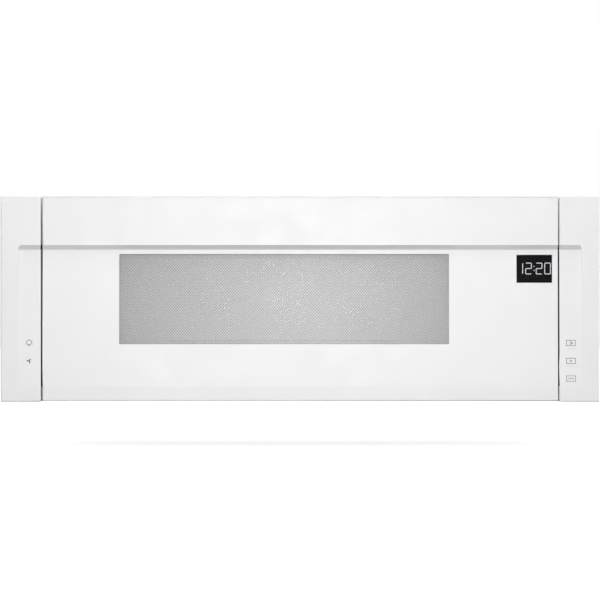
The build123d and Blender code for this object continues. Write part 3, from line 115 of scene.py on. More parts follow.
# The floor lies some way under the appliance, which hangs in the air when in use, and leaves room
# for the filters to drop. It looks white but throws little light up, as with dark cloths laid
# outside the picture, and it is clear from below, so that the underside can be looked at.
floor_half = 12
floor_drop = 0.06
floor_glow_seen = 0.84      # emission that the camera sees
floor_grey_lit = 0.44       # how light it is to the appliance
floor_grey_seen = 0.9       # and to the camera
floor_mesh = bmesh.new()
bmesh.ops.create_grid(floor_mesh, x_segments=1, y_segments=1, size=floor_half)
bmesh.ops.translate(floor_mesh, verts=floor_mesh.verts, vec=(0, 0, -floor_drop))
floor_data = bpy.data.meshes.new("floor")
floor_mesh.to_mesh(floor_data)
floor_mesh.free()
floor = bpy.data.objects.new("floor", floor_data)
scene.collection.objects.link(floor)
floor_paint = bpy.data.materials.new("floor_paint")
floor_paint.use_nodes = True
floor_tree = floor_paint.node_tree
floor_shader = floor_tree.nodes["Principled BSDF"]
floor_shader.inputs["Roughness"].default_value = 0.9
floor_shader.inputs["Specular IOR Level"].default_value = 0.0
floor_shader.inputs["Emission Color"].default_value = (1, 1, 1, 1)
floor_seen = floor_tree.nodes.new("ShaderNodeLightPath")
floor_glow = floor_tree.nodes.new("ShaderNodeMapRange")
floor_glow.inputs["To Max"].default_value = floor_glow_seen
floor_tone = floor_tree.nodes.new("ShaderNodeValToRGB")
for stop, grey in zip(floor_tone.color_ramp.elements, (floor_grey_lit, floor_grey_seen)):
    stop.color = (grey, grey, grey, 1)
floor_side = floor_tree.nodes.new("ShaderNodeNewGeometry")
floor_clear = floor_tree.nodes.new("ShaderNodeBsdfTransparent")
floor_mix = floor_tree.nodes.new("ShaderNodeMixShader")
join_nodes(floor_tree,
           (floor_seen.outputs["Is Camera Ray"], floor_glow.inputs["Value"]),
           (floor_glow.outputs["Result"], floor_shader.inputs["Emission Strength"]),
           (floor_seen.outputs["Is Camera Ray"], floor_tone.inputs["Fac"]),
           (floor_tone.outputs["Color"], floor_shader.inputs["Base Color"]),
           (floor_side.outputs["Backfacing"], floor_mix.inputs["Fac"]),
           (floor_shader.outputs["BSDF"], floor_mix.inputs[1]),
           (floor_clear.outputs["BSDF"], floor_mix.inputs[2]),
           (floor_mix.outputs["Shader"], floor_tree.nodes["Material Output"].inputs["Surface"]))
floor_data.materials.append(floor_paint)

# The photograph's view: straight at the front from far off, level with the middle of the picture.
view_distance = 6.0
view_width = 0.7605
view_x, view_z = 0.0001, 0.1293
y_front = cad_box[0][1]
camera_data = bpy.data.cameras.new("camera")
camera_data.sensor_width = 36.0
camera_data.lens = camera_data.sensor_width * view_distance / view_width
camera_data.clip_end = 100.0
camera = bpy.data.objects.new("camera", camera_data)
scene.collection.objects.link(camera)
camera.location = (view_x, y_front - view_distance, view_z)
camera.rotation_euler = (math.radians(90), 0, 0)
scene.camera = camera


# ---- oven cavity ----
# Three sheets of steel make the oven: a wrapper, a floor and a rear wall, spot-welded together
# and fired with light grey enamel, which has a fine speckle and a soft orange-peel surface.
def shader_of(made):
    """A material's shader node."""
    return made.node_tree.nodes["Principled BSDF"]


def finish(name, colour, roughness, metallic=0.0, **others):
    """A material with its plain values, ready for its patterns."""
    made = bpy.data.materials.new(name)
    made.use_nodes = True
    values = {"Base Color": (*colour, 1), "Roughness": roughness, "Metallic": metallic, **others}
    for socket, value in values.items():
        shader_of(made).inputs[socket.replace("_", " ")].default_value = value
    return made


def pattern(made, kind, scale, output="Fac", stretch=(1, 1, 1), turn=(0, 0, 0), **settings):
    """A texture on the piece's own coordinates, such as Noise, Voronoi or Wave."""
    tree = made.node_tree
    place = tree.nodes.new("ShaderNodeMapping")
    place.inputs["Scale"].default_value = stretch
    place.inputs["Rotation"].default_value = turn
    texture = tree.nodes.new("ShaderNodeTex" + kind)
    texture.inputs["Scale"].default_value = scale
    for socket, value in settings.items():
        texture.inputs[socket.replace("_", " ")].default_value = value
    own = tree.nodes.new("ShaderNodeTexCoord").outputs["Object"]
    join_nodes(tree, (own, place.inputs["Vector"]),
               (place.outputs["Vector"], texture.inputs["Vector"]))
    return texture.outputs[output]


def tint(made, value, low, high, start=0.3, end=0.7):
    """Spreads a pattern between two colours."""
    ramp = made.node_tree.nodes.new("ShaderNodeValToRGB")
    stops = ramp.color_ramp.elements
    stops[0].position, stops[1].position = start, end
    stops[0].color, stops[1].color = (*low, 1), (*high, 1)
    join_nodes(made.node_tree, (value, ramp.inputs["Fac"]),
               (ramp.outputs["Color"], shader_of(made).inputs["Base Color"]))


def gloss(made, value, low, high, start=0.3, end=0.7):
    """Spreads a pattern between two roughnesses."""
    spread = made.node_tree.nodes.new("ShaderNodeMapRange")
    for socket, level in zip(("From Min", "From Max", "To Min", "To Max"), (start, end, low, high)):
        spread.inputs[socket].default_value = level
    join_nodes(made.node_tree, (value, spread.inputs["Value"]),
               (spread.outputs["Result"], shader_of(made).inputs["Roughness"]))


def relief(made, value, strength, depth):
    """Raises and sinks the surface by a pattern."""
    bump = made.node_tree.nodes.new("ShaderNodeBump")
    bump.inputs["Strength"].default_value = strength
    bump.inputs["Distance"].default_value = depth
    join_nodes(made.node_tree, (value, bump.inputs["Height"]),
               (bump.outputs["Normal"], shader_of(made).inputs["Normal"]))


def coat(made, *names):
    """Gives CAD nodes a finish."""
    for name in names:
        nodes[name].material_slots[0].material = made


enamel = finish("speckled_enamel", (0.66, 0.66, 0.65), 0.3)
tint(enamel, pattern(enamel, "Noise", 900, Detail=2), (0.63, 0.63, 0.62),
     (0.68, 0.68, 0.67), 0.36, 0.6)
gloss(enamel, pattern(enamel, "Noise", 60, Detail=5), 0.27, 0.33)
relief(enamel, pattern(enamel, "Noise", 420, Detail=1), 0.15, 0.0002)
coat(enamel, "cavity_wrapper", "cavity_floor", "cavity_rear_wall")

# The mica sheet over the wave feed, a pressed stack of pale flakes, is held to the oven's right
# wall by four nylon rivets.
mica = finish("mica", (0.62, 0.55, 0.42), 0.35)
flakes = pattern(mica, "Voronoi", 160, "Distance")
tint(mica, flakes, (0.52, 0.44, 0.32), (0.74, 0.68, 0.55), 0.1, 0.6)
gloss(mica, pattern(mica, "Noise", 60, Detail=6), 0.2, 0.5)
relief(mica, flakes, 0.2, 0.0002)
coat(mica, "waveguide_cover")


def piece(name, mesh, made, body, slot, *replaced, smooth=0):
    """Turns a closed mesh into a piece that rides on a CAD body. With smooth, edges flatter than
    that angle are shaded round."""
    bmesh.ops.recalc_face_normals(mesh, faces=mesh.faces)
    data = bpy.data.meshes.new(name)
    mesh.to_mesh(data)
    mesh.free()
    data.materials.append(made)
    if smooth:
        data.shade_smooth()
        data.set_sharp_from_angle(angle=math.radians(smooth))
    thing = bpy.data.objects.new(name, data)
    scene.collection.objects.link(thing)
    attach(thing, body)
    if replaced:
        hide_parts(*replaced)
    return thing


def verts_of(made):
    """The vertices among what an operator made."""
    return [v for v in made if isinstance(v, bmesh.types.BMVert)]


def rounded(mesh, edges, offset, segments=3):
    """Rounds edges, and gives what the bevel makes."""
    return bmesh.ops.bevel(mesh, geom=edges, offset=offset, offset_type="OFFSET",
                           segments=segments, profile=0.5, affect="EDGES", material=-1)


def dome(mesh, place, facing, radius, rise):
    """A low round head with a rolled edge, on a seat that faces a direction."""
    head = bmesh.ops.create_cone(mesh, cap_ends=True, segments=16, radius1=radius, radius2=radius,
                                 depth=rise)["verts"]
    bmesh.ops.translate(mesh, verts=head, vec=(0, 0, rise / 2))
    upper = [e for e in mesh.edges if all(v in head and v.co.z > rise / 2 for v in e.verts)]
    rolled = rounded(mesh, upper, rise * 0.8)["verts"]
    turn = Vector(facing).to_track_quat("Z", "Y").to_matrix().to_4x4()
    bmesh.ops.transform(mesh, matrix=Matrix.Translation(place) @ turn, verts=list(set(
        [v for v in head if v.is_valid] + rolled)))


nylon = finish("natural_nylon", (0.8, 0.79, 0.74), 0.4)
gloss(nylon, pattern(nylon, "Noise", 300), 0.3, 0.5)
relief(nylon, pattern(nylon, "Noise", 700), 0.1, 0.0001)
rivet_inset, rivet_radius, rivet_rise = 0.003, 0.0022, 0.001
mica_low, mica_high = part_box("waveguide_cover")
rivets = bmesh.new()
for y in (mica_low.y + rivet_inset, mica_high.y - rivet_inset):
    for z in (mica_low.z + rivet_inset, mica_high.z - rivet_inset):
        dome(rivets, (mica_low.x, y, z), (-1, 0, 0), rivet_radius, rivet_rise)
piece("mica_rivets", rivets, nylon, "cabinet", "grey_plastic", smooth=40)

# The oven lamp: a small frosted bulb in a ceramic holder outside the left wall's slots.
ceramic = finish("lamp_ceramic", (0.78, 0.76, 0.7), 0.5)
tint(ceramic, pattern(ceramic, "Noise", 250, Detail=6), (0.7, 0.68, 0.62), (0.84, 0.82, 0.77))
relief(ceramic, pattern(ceramic, "Noise", 500), 0.2, 0.0001)
coat(ceramic, "cavity_lamp")


# ---- turntable ----
# A tempered glass plate with a raised rim turns on three rollers. Their ring is moulded in white
# acetal, and so is the three-armed coupler on the shaft of the gear motor under the floor.
def spun(points, centre, steps=96):
    """Turns an outline of distances and heights about a vertical axis."""
    mesh = bmesh.new()
    corners = [mesh.verts.new((centre[0] + r, centre[1], z)) for r, z in points]
    edges = [mesh.edges.new(pair) for pair in zip(corners, corners[1:])]
    bmesh.ops.spin(mesh, geom=corners + edges, cent=(*centre, 0), axis=(0, 0, 1),
                   angle=math.tau, steps=steps, use_merge=True)
    bmesh.ops.remove_doubles(mesh, verts=mesh.verts, dist=1e-6)
    return mesh


plate_rise = 0.011          # from the underside of the glass to its rim
plate_steps = 120
plate_outline = (           # share of the radius, height above the underside
    (0, 0), (0.6, 0), (0.62, 0.0008), (0.64, 0), (0.93, 0), (0.955, 0.0015), (0.985, 0.0075),
    (1, 0.0098), (0.998, 0.011), (0.985, 0.0106), (0.965, 0.0075), (0.945, 0.0055),
    (0.64, 0.0045), (0.3, 0.0045), (0, 0.0045))
foot_length = 0.0046
foot_place = Matrix.Translation((0.015, 0, -0.0022))    # out from the middle, and down
plate_low, plate_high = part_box("glass_turntable")
plate_middle = ((plate_low.x + plate_high.x) / 2, (plate_low.y + plate_high.y) / 2)
plate_radius = (plate_high.x - plate_low.x) / 2
plate_base = plate_high.z - plate_rise
plate = spun([(share * plate_radius, plate_base + rise) for share, rise in plate_outline],
             plate_middle, plate_steps)
for angle in (60, 180, 300):
    foot = bmesh.ops.create_cone(plate, cap_ends=True, segments=20, radius1=0.0024, radius2=0.003,
                                 depth=foot_length)["verts"]
    bmesh.ops.transform(plate, verts=foot, matrix=Matrix.Translation((*plate_middle, plate_base))
                        @ Matrix.Rotation(math.radians(angle), 4, "Z") @ foot_place)
plate_glass = finish("tempered_glass", (0.82, 0.9, 0.88), 0.05, Alpha=0.3, IOR=1.5)
gloss(plate_glass, pattern(plate_glass, "Noise", 40, Detail=6), 0.02, 0.12)
relief(plate_glass, pattern(plate_glass, "Noise", 90), 0.05, 0.0003)
piece("turntable_plate", plate, plate_glass, "glass_turntable", "plate_glass", "glass_turntable",
      smooth=35)

acetal = finish("white_acetal", (0.8, 0.8, 0.78), 0.35)
tint(acetal, pattern(acetal, "Noise", 60, Detail=5), (0.74, 0.74, 0.71), (0.83, 0.83, 0.81))
gloss(acetal, pattern(acetal, "Noise", 200, Detail=3), 0.28, 0.45)
relief(acetal, pattern(acetal, "Noise", 900), 0.06, 0.0001)
coat(acetal, "turntable_coupler")

roller_radius, roller_width = 0.0075, 0.006
ring_outer, ring_inner = 0.0966, 0.0886
ring_half = 0.003           # half its height
axle_radius, axle_length, axle_reach = 0.002, 0.012, 0.0985
roller_low, roller_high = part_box("roller_1")
roller_height = (roller_low.z + roller_high.z) / 2
ring = spun([(ring_inner, roller_height - ring_half), (ring_outer, roller_height - ring_half),
             (ring_outer, roller_height + ring_half), (ring_inner, roller_height + ring_half),
             (ring_inner, roller_height - ring_half)], plate_middle)
rounded(ring, [e for e in ring.edges if len(e.link_faces) == 2 and e.calc_face_angle() > 1], 0.001)
for angle in (90, 210, 330):
    axle = bmesh.ops.create_cone(ring, cap_ends=True, segments=20, radius1=axle_radius,
                                 radius2=axle_radius, depth=axle_length)["verts"]
    bmesh.ops.transform(ring, verts=axle, matrix=Matrix.Translation((*plate_middle, roller_height))
                        @ Matrix.Rotation(math.radians(angle), 4, "Z")
                        @ Matrix.Translation((axle_reach, 0, 0))
                        @ Matrix.Rotation(math.radians(90), 4, "Y"))
piece("roller_ring_moulding", ring, acetal, "roller_ring", "grey_plastic", "roller_ring", smooth=35)

# Each roller is a wheel with rounded edges and a recess in both of its sides.
for number in (1, 2, 3):
    low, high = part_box(f"roller_{number}")
    middle = (low + high) / 2
    out = Vector((middle.x - plate_middle[0], middle.y - plate_middle[1], 0)).normalized()
    wheel = bmesh.new()
    bmesh.ops.create_cone(wheel, cap_ends=True, segments=48, radius1=roller_radius,
                          radius2=roller_radius, depth=roller_width)
    hoops = [e for e in wheel.edges if abs(e.verts[0].co.z - e.verts[1].co.z) < 1e-6]
    rounded(wheel, hoops, 0.0008)
    ends = [f for f in wheel.faces if len(f.verts) > 10]
    bmesh.ops.inset_region(wheel, faces=ends, thickness=0.0014, depth=0)
    bmesh.ops.inset_region(wheel, faces=ends, thickness=0.0005, depth=-0.0008)
    turn = out.to_track_quat("Z", "Y").to_matrix().to_4x4()
    bmesh.ops.transform(wheel, matrix=Matrix.Translation(middle) @ turn, verts=wheel.verts)
    piece(f"roller_{number}_wheel", wheel, acetal, f"roller_{number}", "grey_plastic",
          f"roller_{number}", smooth=35)

# The gear motor under the floor: a flat can of bright zinc-plated steel.
zinc = finish("zinc_plate", (0.62, 0.63, 0.65), 0.35, 1.0)
tint(zinc, pattern(zinc, "Noise", 45, Detail=8), (0.5, 0.51, 0.54), (0.7, 0.71, 0.73))
gloss(zinc, pattern(zinc, "Noise", 120, stretch=(1, 1, 6)), 0.25, 0.45)
coat(zinc, "turntable_motor")


# ---- microwave source ----
# The magnetron in its zinc-plated yoke, with aluminium fins, sends its waves down a folded
# steel guide. It hangs on the right-hand side of the oven.
galvanised = finish("galvanised_sheet", (0.6, 0.61, 0.62), 0.42, 1.0)
spangle = pattern(galvanised, "Voronoi", 120, "Color")
tint(galvanised, spangle, (0.62, 0.63, 0.65), (0.72, 0.73, 0.74), 0.1, 0.9)
gloss(galvanised, spangle, 0.38, 0.5, 0.0, 1.0)
relief(galvanised, pattern(galvanised, "Noise", 350, Detail=3), 0.08, 0.0001)
coat(galvanised, "waveguide", "blower_housing", "exhaust_adapter", "damper_flap", "hinge_plates",
     "cabinet_bolt_nuts", "rear_plate", "wall_plate", "cooktop_lamps")

yoke = finish("magnetron_yoke", (0.58, 0.57, 0.54), 0.4, 1.0)
tint(yoke, pattern(yoke, "Noise", 70, Detail=8), (0.46, 0.45, 0.42), (0.66, 0.65, 0.62))
gloss(yoke, pattern(yoke, "Noise", 30, Detail=6), 0.3, 0.55)
coat(yoke, "magnetron", "capacitor")

# The transformer: a stack of varnished iron laminations, welded across, with two windings of
# enamelled copper wire on its middle limb.
iron = finish("varnished_laminations", (0.2, 0.16, 0.14), 0.45, 0.7)
layers = pattern(iron, "Wave", 320, stretch=(0, 1, 0), turn=(0, 0, math.radians(90)))
tint(iron, pattern(iron, "Noise", 40, Detail=6), (0.12, 0.09, 0.08), (0.26, 0.2, 0.17))
gloss(iron, pattern(iron, "Noise", 80), 0.3, 0.6)
relief(iron, layers, 0.3, 0.0002)
coat(iron, "transformer_core", "blower_motor", "fan_motor")

copper = finish("enamelled_copper_wire", (0.55, 0.22, 0.1), 0.3, 0.85)
turns = pattern(copper, "Wave", 160, turn=(0, math.radians(90), 0), Distortion=0.4)
tint(copper, turns, (0.3, 0.09, 0.04), (0.72, 0.34, 0.16), 0.1, 0.9)
gloss(copper, pattern(copper, "Noise", 90), 0.2, 0.4)
relief(copper, turns, 0.6, 0.0004)
coat(copper, "transformer_windings", "release_solenoid")

# The power board and the touch boards: green solder mask over copper traces, on glass fibre.
board_green = finish("solder_mask", (0.03, 0.17, 0.08), 0.3)
traces = pattern(board_green, "Voronoi", 110, "Distance", Randomness=0.35)
tint(board_green, traces, (0.06, 0.26, 0.12), (0.015, 0.12, 0.05), 0.12, 0.2)
gloss(board_green, pattern(board_green, "Noise", 60), 0.2, 0.42)
relief(board_green, traces, 0.2, 0.0001)
coat(board_green, "power_board", "touch_boards")

# The cooling fan, its shroud and the latch board are black glass-filled nylon, moulded, with the
# faint flow marks and the matt texture of that plastic.
black_nylon = finish("black_nylon", (0.03, 0.03, 0.03), 0.5)
tint(black_nylon, pattern(black_nylon, "Noise", 25, Detail=6, Distortion=1.5),
     (0.018, 0.018, 0.019), (0.045, 0.045, 0.046))
gloss(black_nylon, pattern(black_nylon, "Noise", 400, Detail=3), 0.38, 0.62)
relief(black_nylon, pattern(black_nylon, "Noise", 1200), 0.12, 0.0001)
coat(black_nylon, "cooling_fan", "fan_shroud", "interlock_switches", "cord_bush")


# ---- release mechanism ----
# Behind the front plate: a moulded board with a ledge for each latch hook, a lever on its post
# and the solenoid's laminated plunger, which pulls the lever's tail down.
grey_nylon = finish("grey_nylon", (0.42, 0.43, 0.44), 0.5)
tint(grey_nylon, pattern(grey_nylon, "Noise", 30, Detail=5, Distortion=1.0),
     (0.36, 0.37, 0.38), (0.47, 0.48, 0.49))
gloss(grey_nylon, pattern(grey_nylon, "Noise", 500), 0.4, 0.6)
relief(grey_nylon, pattern(grey_nylon, "Noise", 1100), 0.1, 0.0001)
coat(grey_nylon, "latch_board", "release_lever", "latch_pawl")

spring_steel = finish("spring_steel", (0.5, 0.5, 0.52), 0.28, 1.0)
tint(spring_steel, pattern(spring_steel, "Noise", 150, stretch=(1, 1, 8)),
     (0.38, 0.38, 0.4), (0.6, 0.6, 0.62))
gloss(spring_steel, pattern(spring_steel, "Noise", 300), 0.2, 0.4)
coat(spring_steel, "blower_shaft", "solenoid_plunger")


def turned(mesh, verts, degrees, axis):
    """Turns vertices about an axis through the origin."""
    bmesh.ops.rotate(mesh, verts=verts, cent=(0, 0, 0),
                     matrix=Matrix.Rotation(math.radians(degrees), 3, axis))


# The pawl's return spring, coiled from round wire with its ends closed. It stands between the
# pawl's lug and the stop behind the choke cover.
wire_radius = 0.00045
coil_turns, turn_steps = 9, 24
spring_low, spring_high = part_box("latch_spring")
spring_middle = (spring_low + spring_high) / 2
coil_radius = (spring_high.x - spring_low.x) / 2 - wire_radius
coil_steps = turn_steps * coil_turns
coil_rise = spring_high.z - spring_low.z - 2 * wire_radius
spring = bmesh.new()
hoop = bmesh.ops.create_circle(spring, segments=8, radius=wire_radius)["verts"]
turned(spring, hoop, 90, "X")
bmesh.ops.translate(spring, verts=hoop, vec=(
    spring_middle.x + coil_radius, spring_middle.y, spring_low.z + wire_radius))
bmesh.ops.spin(spring, geom=spring.verts[:] + spring.edges[:],
               cent=(spring_middle.x, spring_middle.y, 0), axis=(0, 0, 1),
               angle=math.tau * coil_turns, steps=coil_steps, dvec=(0, 0, coil_rise / coil_steps))
bmesh.ops.holes_fill(spring, edges=[e for e in spring.edges if e.is_boundary], sides=8)
piece("pawl_spring", spring, spring_steel, "door", "spring_steel", "latch_spring", smooth=50)


# ---- cabinet ----
# The outer wrap, the front plate and the underside pan are steel sheet with a white powder coat.
# The rear plate and the wall plate stay bare galvanised steel.
powder = finish("white_powder_coat", (0.8, 0.8, 0.8), 0.55)
tint(powder, pattern(powder, "Noise", 9, Detail=6), (0.78, 0.78, 0.78), (0.83, 0.83, 0.83))
gloss(powder, pattern(powder, "Noise", 130, Detail=3), 0.5, 0.62)
relief(powder, pattern(powder, "Noise", 650, Detail=2), 0.12, 0.0002)
coat(powder, "outer_wrap", "front_plate", "base_plate", "choke_frame", "hinge_brackets")


def block(size, middle, edge=0, segments=3):
    """A closed box, its edges rounded where a radius is given."""
    mesh = bmesh.new()
    bmesh.ops.create_cube(mesh, size=1)
    bmesh.ops.scale(mesh, verts=mesh.verts, vec=size)
    if edge:
        rounded(mesh, mesh.edges[:], edge, segments)
    bmesh.ops.translate(mesh, verts=mesh.verts, vec=middle)
    return mesh


# The front plate's folded top edge, a narrow lip that closes the gap under the wrap's top.
lip_size, lip_middle = (0.752, 0.0012, 0.0027), (0, -0.1894, 0.2587)
top_lip = block(lip_size, lip_middle)
piece("top_lip", top_lip, powder, "cabinet", "white_steel")

# Pan-head screws with a cross recess hold the rear plate and the wrap's sides.
cross_waist = 0.42          # how far the cross is drawn in between its arms


def cross_screw(mesh, place, facing, radius, rise):
    """A pan-head screw: a bevelled head whose top is sunk in the form of a cross."""
    before = set(mesh.verts)
    head = bmesh.ops.create_cone(mesh, cap_ends=True, segments=12, radius1=radius,
                                 radius2=radius * 0.72, depth=rise)["verts"]
    turned(mesh, head, 15, "Z")
    crown = [f for f in mesh.faces if len(f.verts) == 12 and all(v in head for v in f.verts)
             and f.normal.z > 0.9]
    bmesh.ops.inset_region(mesh, faces=crown, thickness=radius * 0.18, depth=rise * 0.12)
    for v in crown[0].verts:
        bearing = math.degrees(math.atan2(v.co.y, v.co.x)) % 90
        if 30 < bearing < 60:
            v.co.x *= cross_waist
            v.co.y *= cross_waist
    sunk = bmesh.ops.extrude_discrete_faces(mesh, faces=crown)["faces"]
    bmesh.ops.translate(mesh, verts=sunk[0].verts, vec=(0, 0, -rise * 0.8))
    turn = Vector(facing).to_track_quat("Z", "Y").to_matrix().to_4x4()
    bmesh.ops.transform(mesh, matrix=Matrix.Translation(place) @ turn
                        @ Matrix.Translation((0, 0, rise / 2)),
                        verts=[v for v in mesh.verts if v not in before])


screw_radius = 0.0036
rear_screw_rise, side_screw_rise = 0.0016, 0.0014
rear_screw_drop = 0.012     # the top row, under the wrap's top
rear_screw_inset = 0.008    # the side rows, from the wrap's sides
wrap_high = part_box("outer_wrap")[1]
y_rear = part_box("rear_plate")[1].y
rear_screws = bmesh.new()
for share in (-0.96, -0.64, -0.32, 0, 0.32, 0.64, 0.96):
    cross_screw(rear_screws, (share * wrap_high.x, y_rear, wrap_high.z - rear_screw_drop),
                (0, 1, 0), screw_radius, rear_screw_rise)
for z in (0.03, 0.1, 0.17):
    for side in (-1, 1):
        cross_screw(rear_screws, (side * (wrap_high.x - rear_screw_inset), y_rear, z), (0, 1, 0),
                    screw_radius, rear_screw_rise)
piece("rear_screws", rear_screws, zinc, "cabinet", "galvanised_steel", smooth=30)

side_screws = bmesh.new()
for side in (-1, 1):
    for y, z in ((-0.17, 0.016), (0, 0.016), (0.215, 0.016), (0.215, 0.13)):
        cross_screw(side_screws, (side * wrap_high.x, y, z), (side, 0, 0), screw_radius,
                    side_screw_rise)
piece("side_screws", side_screws, zinc, "cabinet", "galvanised_steel", smooth=30)

# Two dark strips stand on the front plate, one behind each of the door's side edges. Their greys
# are painted shade: they darken the slits beside the door, the right one more.
front_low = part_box("front_plate")[0]
shade_strip_size = (0.007, 0.0014, 0.181)
shade_strip_x, shade_strip_z = 0.3297, 0.1095     # middle of a strip
# Each strip's grey is painted shade for its slit, darker on the right.
for side, name, shade in ((-1, "left_painted_shade_strip", 0.05), (1, "right_painted_shade_strip", 0.012)):
    slit_shade = finish(f"{name}_foam", (shade, shade, shade), 0.95)
    cells = pattern(slit_shade, "Voronoi", 900, "Distance")
    tint(slit_shade, cells, (shade * 0.4,) * 3, (shade * 1.3,) * 3, 0.1, 0.7)
    gloss(slit_shade, cells, 0.85, 1.0)
    relief(slit_shade, cells, 0.6, 0.0004)
    strip = block(shade_strip_size, (side * shade_strip_x, front_low.y - shade_strip_size[1] / 2, shade_strip_z), 0.0005)
    piece(name, strip, slit_shade, "cabinet", "black_plastic", smooth=40)


# ---- hood ----
# Two squirrel-cage wheels, pressed from thin galvanised strip, draw the air in past the grease
# filters and blow it out through the damper at the top.
coat(galvanised, "blower_wheels")

# Each grease filter is an aluminium channel folded round two layers of expanded mesh, with a
# spring tab to pull it down by. The mesh is dulled by washing and brighter on its strands.
aluminium = finish("filter_aluminium", (0.68, 0.69, 0.7), 0.38, 1.0)
tint(aluminium, pattern(aluminium, "Noise", 35, Detail=8), (0.55, 0.56, 0.57), (0.76, 0.77, 0.78))
gloss(aluminium, pattern(aluminium, "Noise", 220, stretch=(1, 6, 1)), 0.28, 0.5)


def repeat(mesh, count, step):
    """Copies all that is in the mesh along a step, until there are count of it."""
    first = mesh.verts[:] + mesh.edges[:] + mesh.faces[:]
    for index in range(1, count):
        copied = bmesh.ops.duplicate(mesh, geom=first)["geom"]
        bmesh.ops.translate(mesh, verts=verts_of(copied), vec=Vector(step) * index)


def pierced(across, along, columns, rows, hole, thickness):
    """A sheet with staggered round holes: a diamond of sheet round each hole, repeated, merged at
    its edges and given its thickness. It starts at the origin and runs along X and Y."""
    mesh = bmesh.new()
    rim = bmesh.ops.create_circle(mesh, segments=4, radius=0.5)["verts"]
    bmesh.ops.scale(mesh, verts=rim, vec=(across, along, 1))
    bmesh.ops.subdivide_edges(mesh, edges=mesh.edges[:], cuts=1)
    bmesh.ops.create_circle(mesh, segments=8, radius=hole)
    bmesh.ops.bridge_loops(mesh, edges=mesh.edges[:])
    bmesh.ops.translate(mesh, verts=mesh.verts, vec=(across / 2, along / 2, 0))
    repeat(mesh, 2, (across / 2, along / 2, 0))
    repeat(mesh, columns, (across, 0, 0))
    repeat(mesh, rows, (0, along, 0))
    bmesh.ops.remove_doubles(mesh, verts=mesh.verts, dist=across / 1000)
    bmesh.ops.recalc_face_normals(mesh, faces=mesh.faces)
    bmesh.ops.solidify(mesh, geom=mesh.faces[:], thickness=thickness)
    return mesh


filter_rim = 0.0078
filter_lap = 0.002          # how far the mesh reaches into the channel
layer_heights = (0.0024, 0.0058)
tab_size = (0.018, 0.012, 0.0012)
grip_radius, grip_height = 0.0012, 0.0014
tab_reach, grip_reach = 0.005, 0.011        # from the channel's inner edge
for side in ("left", "right"):
    name = f"{side}_grease_filter"
    low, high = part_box(name)
    middle = (low + high) / 2
    columns, rows = 24, 17
    across = (high.x - low.x - 2 * (filter_rim - filter_lap)) / (columns + 0.5)
    along = (high.y - low.y - 2 * (filter_rim - filter_lap)) / (rows + 0.5)
    pad = bmesh.new()
    for layer in layer_heights:
        sheet = pierced(across, along, columns, rows, along * 0.36, 0.0005)
        bmesh.ops.translate(sheet, verts=sheet.verts, vec=(
            low.x + filter_rim - filter_lap, low.y + filter_rim - filter_lap, low.z + layer))
        data = bpy.data.meshes.new("layer")
        sheet.to_mesh(data)
        sheet.free()
        pad.from_mesh(data)
        bpy.data.meshes.remove(data)
    data = bpy.data.meshes.new(f"{side}_filter_mesh")
    pad.to_mesh(data)
    pad.free()
    data.materials.append(aluminium)
    mesh_pad = bpy.data.objects.new(f"{side}_filter_mesh", data)
    scene.collection.objects.link(mesh_pad)
    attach(mesh_pad, name)

    channel = bmesh.new()
    bmesh.ops.create_grid(channel, x_segments=1, y_segments=1, size=0.5)
    bmesh.ops.scale(channel, verts=channel.verts, vec=(high.x - low.x, high.y - low.y, 1))
    bmesh.ops.translate(channel, verts=channel.verts, vec=(middle.x, middle.y, low.z))
    bmesh.ops.inset_region(channel, faces=channel.faces[:], thickness=filter_rim, depth=0,
                           use_boundary=True)
    bmesh.ops.delete(channel, context="FACES_ONLY", geom=[min(channel.faces, key=lambda f: (
        f.calc_center_median() - Vector((middle.x, middle.y, low.z))).length)])
    bmesh.ops.recalc_face_normals(channel, faces=channel.faces)
    raised = bmesh.ops.extrude_face_region(channel, geom=channel.faces[:])["geom"]
    bmesh.ops.translate(channel, verts=verts_of(raised), vec=(0, 0, high.z - low.z))
    rounded(channel, channel.edges[:], 0.0012)
    tab = bmesh.ops.create_cube(channel, size=1)["verts"]
    bmesh.ops.scale(channel, verts=tab, vec=tab_size)
    bmesh.ops.translate(channel, verts=tab, vec=(
        middle.x, low.y + filter_rim + tab_reach, low.z + tab_size[2]))
    grip = bmesh.ops.create_cone(channel, cap_ends=True, segments=16, radius1=grip_radius,
                                 radius2=grip_radius, depth=tab_size[0])["verts"]
    turned(channel, grip, 90, "Y")
    bmesh.ops.translate(channel, verts=grip, vec=(
        middle.x, low.y + filter_rim + grip_reach, low.z + grip_height))
    piece(f"{side}_filter_channel", channel, aluminium, name, "filter_aluminium", name, smooth=40)

# The cooktop lamps' lenses: pressed glass with fine prisms on the inside, in their openings.
lens_glass = finish("prismatic_glass", (0.86, 0.88, 0.88), 0.2, Alpha=0.45)
gloss(lens_glass, pattern(lens_glass, "Noise", 60), 0.12, 0.3)
relief(lens_glass, pattern(lens_glass, "Wave", 120), 0.4, 0.0006)
coat(lens_glass, "lamp_lenses")

# The charcoal filter over the top's air slots: black granules glued in a gridded frame.
charcoal = finish("charcoal_granules", (0.02, 0.02, 0.02), 0.85)
granules = pattern(charcoal, "Voronoi", 420, "Distance")
tint(charcoal, granules, (0.05, 0.05, 0.052), (0.006, 0.006, 0.006), 0.1, 0.6)
gloss(charcoal, granules, 0.6, 0.95)
relief(charcoal, granules, 0.9, 0.001)
coat(charcoal, "charcoal_filter")


